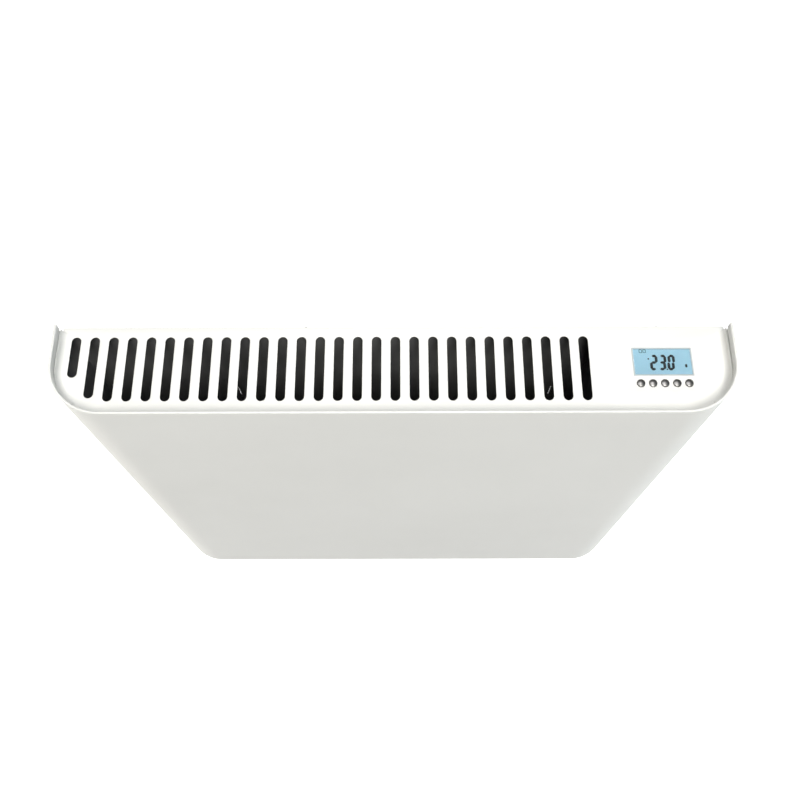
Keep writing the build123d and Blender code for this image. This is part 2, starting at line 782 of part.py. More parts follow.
with BuildPart() as carrier_studs:
    with BuildSketch(Plane.XY.offset(grille_under_z)):
        with Locations((control_x, board_y)):
            with GridLocations(stud_pitch_x, stud_spacing, 2, 2):
                Circle(stud_radius)
    extrude(amount=-stud_length)
write(carrier_studs.part, "carrier_studs")

with BuildPart() as carrier_nuts:
    with BuildSketch(Plane.XY.offset(grille_under_z - carrier_wall)):
        with Locations((control_x, board_y)):
            with GridLocations(stud_pitch_x, stud_spacing, 2, 2):
                RegularPolygon(nut_radius, 6)
                Circle(stud_radius + thread_fit, mode=Mode.SUBTRACT)
    extrude(amount=-nut_height)
write(carrier_nuts.part, "carrier_nuts")

# ---------------------------------------------------------------- power board
board_plane = Plane(origin=(control_x, tray_inner_y, power_board_z), x_dir=(1, 0, 0), z_dir=(0, -1, 0))
board_back = board_plane.offset(standoff_length)
board_front = board_plane.offset(standoff_length + board_thickness)
standoff_pitch_x = power_board_width - 4 * standoff_radius
standoff_pitch_z = power_board_height - 4 * standoff_radius

with BuildPart() as board_standoffs:
    with BuildSketch(board_plane):
        with GridLocations(standoff_pitch_x, standoff_pitch_z, 2, 2):
            RegularPolygon(standoff_radius, 6)
            Circle(small_screw_radius + thread_fit, mode=Mode.SUBTRACT)
    extrude(amount=standoff_length)
write(board_standoffs.part, "board_standoffs")

with BuildPart() as power_board:
    with BuildSketch(board_back):
        Rectangle(power_board_width, power_board_height)
        with GridLocations(standoff_pitch_x, standoff_pitch_z, 2, 2):
            Circle(small_screw_radius + thread_fit, mode=Mode.SUBTRACT)
    extrude(amount=board_thickness)
    # Socket for the ribbon.
    with BuildSketch(board_front):
        with Locations((0, power_board_height / 2 - socket_drop)):
            Rectangle(ribbon_width + 2 * partition_gap, socket_height, align=(Align.CENTER, Align.MAX))
    extrude(amount=socket_depth)
write(power_board.part, "power_board")


def hex_screws(head_plane, spots, radius, length):
    """A group of hexagon-head screws whose heads stand on head_plane, with their shanks behind it."""
    with BuildPart() as screws:
        with BuildSketch(head_plane):
            with Locations(*spots):
                RegularPolygon(radius * screw_head_ratio, 6)
        extrude(amount=radius * screw_head_rise)
        with BuildSketch(head_plane):
            with Locations(*spots):
                Circle(radius)
        extrude(amount=-length)
    return screws.part


board_spots = [
    (i * standoff_pitch_x / 2, j * standoff_pitch_z / 2) for i in (-1, 1) for j in (-1, 1)
]
write(hex_screws(board_front, board_spots, small_screw_radius, small_screw_length), "board_screws")

with BuildPart() as relay:
    with BuildSketch(board_front):
        with Locations((relay_x, relay_z)):
            Rectangle(relay_width, relay_height)
    extrude(amount=relay_depth)
    chamfer(relay.faces().sort_by(Axis.Y)[0].edges(), length=relay_chamfer)
write(relay.part, "relay")

with BuildPart() as transformer:
    with BuildSketch(board_front):
        with Locations((transformer_x, transformer_z)):
            Rectangle(transformer_width, transformer_height)
    extrude(amount=transformer_depth)
    # The winding stands out above and below the laminated core.
    with BuildSketch(board_front.offset(transformer_depth / 4)):
        with Locations((transformer_x, transformer_z)):
            Rectangle(winding_width, transformer_height + 2 * winding_stand)
    extrude(amount=transformer_depth / 2)
write(transformer.part, "transformer")

# Terminal block with three screw wells in front and three wire ways below.
way_xs = [(i - 1) * way_pitch for i in range(3)]
with BuildPart() as terminal_block:
    with BuildSketch(board_front):
        with Locations((block_x, block_z)):
            Rectangle(3 * way_pitch, block_height)
    extrude(amount=block_depth)
    with BuildSketch(board_front.offset(block_depth)):
        with Locations(*[(block_x + x, block_z) for x in way_xs]):
            Circle(way_well_radius)
    extrude(amount=-block_depth / 2, mode=Mode.SUBTRACT)
write(terminal_block.part, "terminal_block")

# ---------------------------------------------------------------- grommet
with BuildPart() as cord_grommet:
    grommet_plane = Plane(origin=(control_x, tray_rear_y, grommet_z), x_dir=(1, 0, 0), z_dir=(0, 1, 0))
    with BuildSketch(grommet_plane.offset(ring_lip)):
        Circle(grommet_radius + ring_lip)
    extrude(amount=-2 * ring_lip - tray_sheet)
    with BuildSketch(grommet_plane):
        Circle(grommet_radius + 2 * ring_lip)
        Circle(grommet_radius - thread_fit, mode=Mode.SUBTRACT)
    extrude(amount=-tray_sheet, mode=Mode.SUBTRACT)
    with BuildSketch(grommet_plane.offset(ring_lip)):
        Circle(grommet_radius - 2 * ring_lip)
    extrude(amount=-2 * ring_lip - tray_sheet, mode=Mode.SUBTRACT)
write(cord_grommet.part, "cord_grommet")

# ---------------------------------------------------------------- screws through the sheets
rear_screw_plane = Plane(origin=(0, tray_rear_y, 0), x_dir=(1, 0, 0), z_dir=(0, 1, 0))
rear_spots = [
    ((i - (rear_screw_count - 1) / 2) * rear_screw_pitch, -z)
    for i in range(rear_screw_count)
    for z in (grille_screw_z, inlet_screw_z)
]
write(hex_screws(rear_screw_plane, rear_spots, screw_radius, screw_length), "rear_screws")

casing_screw_plane = Plane(origin=(0, casing_screw_y, casing_bottom_z), x_dir=(1, 0, 0), z_dir=(0, 0, -1))
casing_spots = [
    ((i - (casing_screw_count - 1) / 2) * casing_screw_pitch, 0) for i in range(casing_screw_count)
]
write(hex_screws(casing_screw_plane, casing_spots, screw_radius, screw_length), "casing_screws")

# ---------------------------------------------------------------- wall bracket
# Two channel uprights screwed to the wall, with hooks on their outer flanges, and two rails.
upright_front_y = -bracket_depth
hook_root_y = upright_front_y - tray_sheet - hook_fit
hook_tip_y = hook_root_y - hook_reach


def upright(side):
    """Channel with its web on the wall; side is -1 for the left one and 1 for the right one."""
    centre_x = side * bolt_spacing_x / 2
    left_x = centre_x - upright_width / 2
    right_x = centre_x + upright_width / 2
    plan = [(left_x, upright_front_y), (left_x, 0), (right_x, 0), (right_x, upright_front_y)]
    outer_x = centre_x + side * upright_width / 2
    with BuildPart() as channel:
        extrude(
            sheet_section(Plane.XY.offset(-upright_height / 2), plan, upright_bend, upright_sheet),
            amount=upright_height,
        )
        with BuildSketch(Plane.YZ.offset(outer_x)):
            for z in hook_zs:
                with BuildLine():
                    FilletPolyline(
                        (upright_front_y + upright_bend, z - hook_neck),
                        (hook_tip_y, z - hook_neck),
                        (hook_tip_y, z + hook_rise),
                        (hook_root_y, z + hook_rise),
                        (hook_root_y, z),
                        (upright_front_y + upright_bend, z),
                        radius=[hook_corner, hook_corner, hook_corner, 0],
                    )
                    Line((upright_front_y + upright_bend, z), (upright_front_y + upright_bend, z - hook_neck))
                make_face()
        extrude(amount=-side * upright_sheet)
        with BuildSketch(Plane.XZ):
            with Locations((centre_x, bolt_spacing_z / 2), (centre_x, -bolt_spacing_z / 2)):
                Circle(bolt_hole_radius)
        extrude(amount=upright_sheet, mode=Mode.SUBTRACT)
    return channel.part


def rail(z):
    """Shallow channel between the uprights, its web on the wall."""
    end_x = (bolt_spacing_x - upright_width) / 2
    section = [
        (-rail_flange, z - rail_height / 2),
        (0, z - rail_height / 2),
        (0, z + rail_height / 2),
        (-rail_flange, z + rail_height / 2),
    ]
    with BuildPart() as channel:
        extrude(
            sheet_section(Plane.YZ.offset(-end_x), section, upright_bend, upright_sheet, Side.LEFT),
            amount=2 * end_x,
        )
    return channel.part


write(upright(-1), "bracket_upright_left")
write(upright(1), "bracket_upright_right")
write(rail(bolt_spacing_z / 2), "bracket_rail_upper")
write(rail(-bolt_spacing_z / 2), "bracket_rail_lower")

# ---------------------------------------------------------------- internal wiring
socket_face_y = board_front.origin.Y - socket_depth / 2
socket_top_z = power_board_z + power_board_height / 2 - socket_drop
with BuildPart() as ribbon_cable:
    with BuildLine() as ribbon_route:
        FilletPolyline(
            (control_x, ribbon_top_y, board_bottom_z),
            (control_x, ribbon_top_y, ribbon_turn_z),
            (control_x, socket_face_y, ribbon_turn_z),
            (control_x, socket_face_y, socket_top_z),
            radius=ribbon_bend,
        )
    ribbon_start = Plane(origin=(control_x, ribbon_top_y, board_bottom_z), x_dir=(1, 0, 0), z_dir=(0, 0, -1))
    with BuildSketch(ribbon_start):
        Rectangle(ribbon_width, ribbon_thickness)
    sweep(path=ribbon_route.wires()[0])
write(ribbon_cable.part, "ribbon_cable")


def lead(points):
    """Insulated lead, with six flats, along a route with tangent bends."""
    with BuildPart() as wire:
        with BuildLine() as route:
            FilletPolyline(*points, radius=lead_bend)
        start = Vector(*points[0])
        with BuildSketch(Plane(origin=start, z_dir=Vector(*points[1]) - start)):
            RegularPolygon(lead_radius, 6)
        sweep(path=route.wires()[0])
    return wire.part


# The block's wires leave below it; two leads go through the partition to the cut-out and back,
# and the third runs above the shield to the element's far end.
way_y = board_front.origin.Y - block_depth / 2
way_z = power_board_z + block_z - block_height / 2
live_x, earth_x, neutral_x = [control_x + block_x + x for x in way_xs]
blade_left_x = cutout_x - blade_pitch / 2
blade_right_x = cutout_x + (blade_pitch + blade_thickness) / 2
blade_tip_y = cutout_face_y - cutout_depth - blade_length
pin_left_x = sheath_left_x - pin_length
pin_right_x = sheath_right_x + pin_length
run_right_x = pin_right_x + lead_bend + lead_gap / 4
run_left_x = pin_left_x - lead_bend - lead_gap / 4
riser_x = partition_x + inner_sheet + ring_lip + 2 * lead_radius
live_z = lead_pass_z - lead_gap / 2
link_z = lead_pass_z + lead_gap / 2
link_y = lead_pass_y - lead_radius / 2
neutral_y = lead_pass_y + lead_gap
duct_riser_x = (duct_right_x + partition_x) / 2
top_run_z = shield_top_z + lead_bend

live_route = [
    (live_x, way_y, way_z),
    (live_x, way_y, way_z - 2 * lead_bend),
    ((riser_x + run_right_x) / 2, lead_pass_y, way_z - 2 * lead_bend),
    ((riser_x + run_right_x) / 2, lead_pass_y, live_z),
    (blade_right_x, lead_pass_y, live_z),
]
link_route = [
    (blade_left_x, blade_tip_y, link_z),
    (blade_left_x, blade_tip_y - 1.5 * lead_bend, link_z),
    (duct_right_x - 3 * lead_bend, blade_tip_y - 1.5 * lead_bend, link_z),
    (duct_right_x, link_y, link_z),
    (run_right_x, link_y, link_z),
    (run_right_x, element_y, link_z),
    (run_right_x, element_y, element_z),
    (pin_right_x, element_y, element_z),
]
neutral_route = [
    (neutral_x, way_y, way_z),
    (neutral_x, way_y, way_z - lead_bend),
    (neutral_x, way_y - 2 * lead_gap, way_z - 3 * lead_bend),
    (riser_x, way_y - 2 * lead_gap, way_z - 3 * lead_bend),
    (riser_x, neutral_y, lead_pass_z),
    (duct_riser_x, neutral_y, lead_pass_z),
    (duct_riser_x, neutral_y, top_run_z),
    (run_left_x, neutral_y, top_run_z),
    (run_left_x, neutral_y, element_z),
    (run_left_x, element_y, element_z),
    (pin_left_x, element_y, element_z),
]
earth_z = way_z - 8 * lead_bend
earth_route = [
    (earth_x, way_y, way_z),
    (earth_x, way_y, earth_z),
    (earth_x, tray_inner_y - earth_stud_length, earth_z),
]
write(lead(live_route), "lead_live")
write(lead(link_route), "lead_link")
write(lead(neutral_route), "lead_neutral")
write(lead(earth_route), "lead_earth")

with BuildPart() as earth_stud:
    with BuildSketch(Plane(origin=(earth_x, tray_inner_y, earth_z), x_dir=(1, 0, 0), z_dir=(0, -1, 0))):
        Circle(screw_radius)
    extrude(amount=earth_stud_length)
write(earth_stud.part, "earth_stud")
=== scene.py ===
from math import asin, ceil, cos, pi, radians

import bmesh
import bpy
from mathutils import Matrix, Quaternion, Vector


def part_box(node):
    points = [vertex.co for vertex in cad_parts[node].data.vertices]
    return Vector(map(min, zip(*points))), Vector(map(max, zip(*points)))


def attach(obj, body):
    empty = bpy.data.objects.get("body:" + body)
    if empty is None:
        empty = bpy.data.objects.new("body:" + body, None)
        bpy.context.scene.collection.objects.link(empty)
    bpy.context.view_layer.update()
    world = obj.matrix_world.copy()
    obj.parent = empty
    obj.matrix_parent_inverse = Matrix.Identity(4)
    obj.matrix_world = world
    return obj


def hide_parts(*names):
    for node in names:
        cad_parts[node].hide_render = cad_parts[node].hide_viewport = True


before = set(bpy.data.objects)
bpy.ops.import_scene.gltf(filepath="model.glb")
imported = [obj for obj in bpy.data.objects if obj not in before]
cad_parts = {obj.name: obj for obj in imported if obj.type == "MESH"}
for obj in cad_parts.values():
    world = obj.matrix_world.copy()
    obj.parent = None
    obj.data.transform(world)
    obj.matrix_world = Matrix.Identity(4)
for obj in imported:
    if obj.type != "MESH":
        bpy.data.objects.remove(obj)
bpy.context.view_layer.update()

# Lengths are in millimetres while a piece is shaped, and become metres when it is finished.
MM = 0.001
RIGHT, BACK, UP = Vector((1, 0, 0)), Vector((0, 1, 0)), Vector((0, 0, 1))
LEFT, FRONT, DOWN = -RIGHT, -BACK, -UP


def extent(node):
    """Lowest and highest corner of a CAD node, in millimetres."""
    low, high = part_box(node)
    return low / MM, high / MM


# ---------------------------------------------------------------- sizes
casing_low, casing_high = extent("front_casing")
grille_high = extent("top_grille")[1]
tray_low, tray_high = extent("back_panel")
inlet_low, inlet_high = extent("inlet_grille")
bezel_low, bezel_high = extent("display_bezel")
lens_low, lens_high = extent("display_lens")

corner_radius = 50.0
casing_sheet = 1.0
casing_lip = 14.0
casing_bend = 2.0
hem_radius = 1.3
hem_drop = 8.0
corner_x = casing_high.x - corner_radius
corner_y = casing_low.y + corner_radius

# Steps of bends and circles, in degrees and in sides; small rounds; what counts as one place.
bend_step = 15
corner_step = 4.5
large_bend = 20.0
edge_round = 0.2
hole_sides = 32
round_sides = 48
sharp_angle = 50
smooth_angle = 35
merge_distance = 0.001
place_tolerance = 0.01

# Sheets inside the casing.
sheet = 0.8
inside_x = 298.95
plate_z = 267.0
plate_bend = 1.5
turn_down = 12.0
upstand_bend = 6.0
upstand_rear_y = -22.6
upstand_tail = 3.0
upstand_corner = 2.9
upstand_turn = 45
step_y = -21.7
wall_side_y = grille_high.y

# The casing's inside gets a dark lining, painted shade, where a face looks towards this plane, or up by
# more than this share.
duct_y = -60.0
lying_flat = 0.9

# Air slots of the top grille.
slot_count = 28
slot_pitch = 16.95
slot_width = 8.7
slot_first_x = -286.4
slot_front_y = -86.35
slot_rear_y = -23.7
slot_centre_x = 258.0
slot_corner_radius = 23.0

# Display and keys.
control_x = 240.8
window_y = -49.2
window_width = 53.8
window_length = 27.6
frame_wall = 1.1
frame_fit = 0.1
frame_corner = 0.8
frame_edge = 0.15
frame_depth = 3.0
glass_gap = 0.1
glass_edge = 0.1
key_pitch = 10.7
key_xs = [control_x + key_pitch * i for i in (-2, -1, 0, 1, 2)]
key_y = -70.3
key_radius = 3.6
key_fit = 0.2
key_top_z = 268.8
key_dome_radius = 8.3
key_edge = 0.5
key_dome_angle = asin((key_radius - key_edge) / (key_dome_radius - key_edge)) * 180 / pi
key_shoulder = key_dome_radius - (key_dome_radius - key_edge) * cos(radians(key_dome_angle))
key_collar = 0.8
key_hole_sides = 40

# Rear side.
screw_xs = (-240.0, -80.0, 80.0, 240.0)
screw_zs = (260.2, -282.2)
screw_head = 3.8
screw_rise = 2.2
screw_edge = 0.5
screw_shank = 2.0
screw_taper = 0.8
screw_sides = 20
screw_length = 8.0
casing_screw_y = -99.5
grommet_z = -250.0
grommet_bore = 4.0
grommet_groove = 7.0
grommet_flange = 8.5
grommet_lip = 1.5
grommet_edge = 0.5
vent_z = 106.2
vent_pitch = 16.0
vent_count = 5
vent_length = 60.0
vent_width = 4.0
hook_slot_x = 163.25
hook_slot_width = 1.56
hook_slot_height = 21.0
hook_zs = (-130.0, 130.0)

# Inlet grille.
inlet_slot_pitch = 25.0
inlet_slot_width = 12.0
inlet_slot_length = 54.0
inlet_slot_count = 21
inlet_slot_y = -60.9
inlet_slot_corner = 2.0

# Wall bracket.
bolt_spacing = 300.0
bolt_hole = 3.2
upright_sheet = 1.5
upright_bend = 2.5
hook_neck = 8.0
hook_rise = 10.0
hook_root_y = -15.3
hook_tip_y = -21.3
hook_corner = 1.5


# ---------------------------------------------------------------- shaping
def draw(shape, start, heading, normal, moves):
    """Draws a wire: a number runs straight on, a (radius, degrees) pair turns left about the normal."""
    tip = shape.verts.new(start)
    heading = Vector(heading)
    for move in moves:
        if not isinstance(move, tuple):
            tip = bmesh.ops.extrude_vert_indiv(shape, verts=[tip])["verts"][0]
            bmesh.ops.translate(shape, vec=move * heading, verts=[tip])
            continue
        radius, degrees = move
        if radius:
            side = 1 if degrees > 0 else -1
            step = corner_step if radius > large_bend else bend_step
            turned = bmesh.ops.spin(
                shape,
                geom=[tip],
                cent=tip.co + side * radius * normal.cross(heading),
                axis=normal,
                angle=radians(degrees),
                steps=ceil(abs(degrees) / step),
            )
            tip = turned["geom_last"][0]
        heading = Quaternion(normal, radians(degrees)) @ heading


def rectangle(shape, centre, across, along, width, length, corner=0.0):
    """Draws a rectangle round a centre, with rounded corners."""
    start = Vector(centre) - across * (width / 2 - corner) - along * length / 2
    moves = [width - 2 * corner, (corner, 90), length - 2 * corner, (corner, 90)]
    draw(shape, start, across, across.cross(along), moves + moves)


def pull(shape, edges, step):
    """Extrudes edges by a step and gives the new far edges."""
    pulled = bmesh.ops.extrude_edge_only(shape, edges=edges)["geom"]
    corners = [part for part in pulled if isinstance(part, bmesh.types.BMVert)]
    bmesh.ops.translate(shape, vec=step, verts=corners)
    return [part for part in pulled if isinstance(part, bmesh.types.BMEdge)]


def turn(shape, edges, centre, axis, degrees, step=bend_step):
    """Spins edges round an axis into a bend and gives the new far edges."""
    corners = list({corner for edge in edges for corner in edge.verts})
    spun = bmesh.ops.spin(
        shape,
        geom=corners + edges,
        cent=centre,
        axis=axis,
        angle=radians(degrees),
        steps=round(abs(degrees) / step),
    )
    return [part for part in spun["geom_last"] if isinstance(part, bmesh.types.BMEdge)]


def revolve(shape, centre, axis):
    """Spins everything drawn so far once round an axis."""
    bmesh.ops.spin(
        shape,
        geom=shape.verts[:] + shape.edges[:],
        cent=centre,
        axis=axis,
        angle=radians(360),
        steps=round_sides,
        use_merge=True,
    )
    bmesh.ops.remove_doubles(shape, verts=shape.verts, dist=merge_distance)
    bmesh.ops.recalc_face_normals(shape, faces=shape.faces)


def fill(shape, normal):
    """Closes the drawn outline, with its holes, into one flat sheet."""
    bmesh.ops.remove_doubles(shape, verts=shape.verts, dist=merge_distance)
    bmesh.ops.triangle_fill(shape, use_beauty=True, edges=shape.edges[:], normal=normal)


def thicken(shape, thickness, facing):
    """Gives the surface its thickness behind the side that faces the given way."""
    bmesh.ops.remove_doubles(shape, verts=shape.verts, dist=merge_distance)
    bmesh.ops.recalc_face_normals(shape, faces=shape.faces)
    if sum(face.calc_area() * face.normal.dot(facing) for face in shape.faces) < 0:
        bmesh.ops.reverse_faces(shape, faces=shape.faces)
    bmesh.ops.solidify(shape, geom=shape.faces[:], thickness=thickness)


def soften(shape, width=edge_round, segments=2):
    """Rounds the sharp edges."""
    sharp = [
        edge
        for edge in shape.edges
        if len(edge.link_faces) == 2 and edge.calc_face_angle() > radians(sharp_angle)
    ]
    bmesh.ops.bevel(
        shape,
        geom=sharp,
        offset=width,
        offset_type="OFFSET",
        segments=segments,
        profile=0.5,
        affect="EDGES",
        material=-1,
        clamp_overlap=True,
    )


def edges_on(shape, **places):
    """Edges whose two ends lie at the given coordinates, or between the given pairs of them."""
    found = []
    for edge in shape.edges:
        for name, place in places.items():
            low, high = place if isinstance(place, tuple) else (place, place)
            low -= place_tolerance
            high += place_tolerance
            if not all(low < getattr(end.co, name) < high for end in edge.verts):
                break
        else:
            found.append(edge)
    return found


def add(shape, other):
    """Moves one shape's mesh into another."""
    carrier = bpy.data.meshes.new("carrier")
    other.to_mesh(carrier)
    other.free()
    shape.from_mesh(carrier)
    bpy.data.meshes.remove(carrier)


def paint_shade_inside(shape, top_z):
    """Gives the faces that look into the casing or up, below a height, the second material: a dark lining
    that paints shade inside the casing.
    """
    for face in shape.faces:
        middle = face.calc_center_median()
        inwards = Vector((0, duct_y, middle.z)) - middle
        if middle.z < top_z and (face.normal.dot(inwards) > 0 or face.normal.z > lying_flat):
            face.material_index = 1


def finish(shape, name, material, body, slot, *nodes, shade_lining=None):
    """Turns a shape into a piece that rides on a body and stands for CAD nodes; a shade lining is a
    second material of painted shade.
    """
    bmesh.ops.scale(shape, vec=(MM, MM, MM), verts=shape.verts)
    mesh = bpy.data.meshes.new(name)
    shape.to_mesh(mesh)
    shape.free()
    mesh.shade_smooth()
    mesh.set_sharp_from_angle(angle=radians(smooth_angle))
    mesh.materials.append(material)
    if shade_lining:
        mesh.materials.append(shade_lining)
    piece = bpy.data.objects.new(name, mesh)
    bpy.context.scene.collection.objects.link(piece)
    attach(piece, body)
    if nodes:
        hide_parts(*nodes)


# ---------------------------------------------------------------- shared effects
grain_height = 0.2 * MM


def new_group(name, inputs, outputs):
    """An empty node group with named sockets, and its input and output nodes."""
    group = bpy.data.node_groups.new(name, "ShaderNodeTree")
    for socket, kind, value in inputs:
        made = group.interface.new_socket(name=socket, in_out="INPUT", socket_type=kind)
        made.default_value = value
    for socket, kind in outputs:
        group.interface.new_socket(name=socket, in_out="OUTPUT", socket_type=kind)
    return group, group.nodes.new("NodeGroupInput"), group.nodes.new("NodeGroupOutput")


def add_node(tree, kind, links=(), **values):
    """A node with its inputs set or linked; plain attributes are given in lower case."""
    node = tree.nodes.new(kind)
    for key, value in values.items():
        if key in node.inputs:
            node.inputs[key].default_value = value
        else:
            setattr(node, key, value)
    for source, socket in links:
        tree.links.new(source, node.inputs[socket])
    return node


def grain_group():
    """Fine surface grain, as a bumped normal."""
    group, given, result = new_group(
        "surface_grain",
        [
            ("Stretch", "NodeSocketVector", (1.0, 1.0, 1.0)),
            ("Scale", "NodeSocketFloat", 900.0),
            ("Depth", "NodeSocketFloat", 0.1),
        ],
        [("Normal", "NodeSocketVector")],
    )
    place = add_node(group, "ShaderNodeTexCoord")
    stretched = add_node(
        group,
        "ShaderNodeMapping",
        [(place.outputs["Object"], "Vector"), (given.outputs["Stretch"], "Scale")],
    )
    noise = add_node(
        group,
        "ShaderNodeTexNoise",
        [(stretched.outputs["Vector"], "Vector"), (given.outputs["Scale"], "Scale")],
        Detail=3.0,
        Roughness=0.55,
    )
    bump = add_node(
        group,
        "ShaderNodeBump",
        [(noise.outputs["Fac"], "Height"), (given.outputs["Depth"], "Strength")],
        Distance=grain_height,
    )
    group.links.new(bump.outputs["Normal"], result.inputs["Normal"])
    return group


def tone_group():
    """Slow changes of tone over a surface: a colour between two given ones, and a roughness."""
    group, given, result = new_group(
        "slow_tone",
        [
            ("Light", "NodeSocketColor", (0.9, 0.9, 0.9, 1.0)),
            ("Dark", "NodeSocketColor", (0.8, 0.8, 0.8, 1.0)),
            ("Scale", "NodeSocketFloat", 12.0),
            ("Smooth", "NodeSocketFloat", 0.35),
            ("Rough", "NodeSocketFloat", 0.45),
        ],
        [("Color", "NodeSocketColor"), ("Roughness", "NodeSocketFloat")],
    )
    place = add_node(group, "ShaderNodeTexCoord")
    noise = add_node(
        group,
        "ShaderNodeTexNoise",
        [(place.outputs["Object"], "Vector"), (given.outputs["Scale"], "Scale")],
        Detail=4.0,
        Roughness=0.6,
    )
    spread = add_node(group, "ShaderNodeMapRange", [(noise.outputs["Fac"], "Value")])
    spread.inputs["From Min"].default_value = 0.3
    spread.inputs["From Max"].default_value = 0.7
    colour = add_node(
        group,
        "ShaderNodeMixRGB",
        [
            (spread.outputs["Result"], "Fac"),
            (given.outputs["Dark"], "Color1"),
            (given.outputs["Light"], "Color2"),
        ],
    )
    rough = add_node(group, "ShaderNodeMapRange", [(spread.outputs["Result"], "Value")])
    group.links.new(given.outputs["Rough"], rough.inputs["To Min"])
    group.links.new(given.outputs["Smooth"], rough.inputs["To Max"])
    group.links.new(colour.outputs["Color"], result.inputs["Color"])
    group.links.new(rough.outputs["Result"], result.inputs["Roughness"])
    return group


grain = grain_group()
tone = tone_group()


def surface(
    name, light, dark, tone_scale, smooth, rough, grain_scale, grain_depth, stretch=(1, 1, 1), **sockets
):
    """A finished surface: slow tone, fine grain, and fixed values on the shader's own sockets."""
    material = bpy.data.materials.new(name)
    material.use_nodes = True
    tree = material.node_tree
    shader = tree.nodes["Principled BSDF"]
    for key, value in sockets.items():
        shader.inputs[key.replace("_", " ")].default_value = value
    colour = add_node(
        tree,
        "ShaderNodeGroup",
        node_tree=tone,
        Light=(*light, 1.0),
        Dark=(*dark, 1.0),
        Scale=tone_scale,
        Smooth=smooth,
        Rough=rough,
    )
    fine = add_node(
        tree, "ShaderNodeGroup", node_tree=grain, Scale=grain_scale, Depth=grain_depth, Stretch=stretch
    )
    tree.links.new(colour.outputs["Color"], shader.inputs["Base Color"])
    tree.links.new(colour.outputs["Roughness"], shader.inputs["Roughness"])
    tree.links.new(fine.outputs["Normal"], shader.inputs["Normal"])
    return material


# ---------------------------------------------------------------- materials
casing_paint = surface(
    "casing_paint", light=(0.76, 0.76, 0.731), dark=(0.745, 0.745, 0.717), tone_scale=5.0,
    smooth=0.36, rough=0.44, grain_scale=1100, grain_depth=0.10,
)
grille_paint = surface(
    "grille_paint", light=(0.78, 0.78, 0.75), dark=(0.765, 0.765, 0.736), tone_scale=7.0,
    smooth=0.40, rough=0.48, grain_scale=1100, grain_depth=0.10,
)
tray_paint = surface(
    "tray_paint", light=(0.79, 0.79, 0.77), dark=(0.76, 0.76, 0.74), tone_scale=6.0, smooth=0.42,
    rough=0.52, grain_scale=1000, grain_depth=0.14,
)
# Painted shade: a near-black lining for the inner faces and the front ledge, so the inside seen through
# the slots looks shaded.
painted_shade_lining = surface(
    "painted_shade_lining", light=(0.16, 0.16, 0.16), dark=(0.11, 0.11, 0.11), tone_scale=9.0, smooth=0.55,
    rough=0.70, grain_scale=800, grain_depth=0.20,
)
zinc_steel = surface(
    "zinc_steel", light=(0.26, 0.27, 0.28), dark=(0.18, 0.19, 0.20), tone_scale=70.0, smooth=0.52,
    rough=0.66, grain_scale=500, grain_depth=0.12, Metallic=0.8,
)
# Painted shade: near-black zinc for the sheets inside the casing, so they look shaded through the slots.
painted_shade_zinc = surface(
    "painted_shade_zinc", light=(0.10, 0.10, 0.11), dark=(0.06, 0.06, 0.07), tone_scale=40.0, smooth=0.50,
    rough=0.65, grain_scale=500, grain_depth=0.15, Metallic=0.6,
)
# Painted shade: the element's aluminium is made near-black, so it looks shaded inside the casing.
element_aluminium = surface(
    "element_aluminium", light=(0.16, 0.16, 0.17), dark=(0.10, 0.10, 0.11), tone_scale=20.0,
    smooth=0.38, rough=0.52, grain_scale=700, grain_depth=0.25, stretch=(0.02, 1.0, 1.0),
    Metallic=0.8,
)
sheath_steel = surface(
    "sheath_steel", light=(0.40, 0.38, 0.36), dark=(0.28, 0.27, 0.26), tone_scale=60.0, smooth=0.30,
    rough=0.45, grain_scale=900, grain_depth=0.2, stretch=(0.05, 1, 1), Metallic=1.0,
)
white_ceramic = surface(
    "white_ceramic", light=(0.85, 0.84, 0.80), dark=(0.78, 0.77, 0.73), tone_scale=90.0,
    smooth=0.50, rough=0.65, grain_scale=1500, grain_depth=0.15,
)
black_rubber = surface(
    "black_rubber", light=(0.035, 0.035, 0.035), dark=(0.022, 0.022, 0.022), tone_scale=120.0,
    smooth=0.55, rough=0.70, grain_scale=1200, grain_depth=0.25,
)
cutout_plastic = surface(
    "cutout_plastic", light=(0.05, 0.05, 0.05), dark=(0.03, 0.03, 0.03), tone_scale=90.0,
    smooth=0.40, rough=0.55, grain_scale=1200, grain_depth=0.2,
)
bezel_plastic = surface(
    "bezel_plastic", light=(0.50, 0.53, 0.55), dark=(0.44, 0.47, 0.49), tone_scale=60.0,
    smooth=0.32, rough=0.42, grain_scale=1800, grain_depth=0.12,
)
circuit_board = surface(
    "circuit_board", light=(0.02, 0.17, 0.07), dark=(0.01, 0.10, 0.04), tone_scale=160.0,
    smooth=0.30, rough=0.42, grain_scale=1500, grain_depth=0.2,
)
switch_plastic = surface(
    "switch_plastic", light=(0.04, 0.04, 0.04), dark=(0.03, 0.03, 0.03), tone_scale=150.0,
    smooth=0.40, rough=0.50, grain_scale=1500, grain_depth=0.15,
)
key_metal = surface(
    "key_metallised", light=(0.24, 0.235, 0.23), dark=(0.20, 0.195, 0.19), tone_scale=300.0,
    smooth=0.34, rough=0.42, grain_scale=2500, grain_depth=0.04, Metallic=1.0,
)
carrier_plastic = surface(
    "carrier_plastic", light=(0.80, 0.80, 0.78), dark=(0.76, 0.76, 0.74), tone_scale=40.0,
    smooth=0.45, rough=0.55, grain_scale=1200, grain_depth=0.15,
)
fastener_steel = surface(
    "fastener_steel", light=(0.68, 0.69, 0.70), dark=(0.56, 0.57, 0.58), tone_scale=200.0,
    smooth=0.24, rough=0.36, grain_scale=1600, grain_depth=0.12, Metallic=1.0,
)
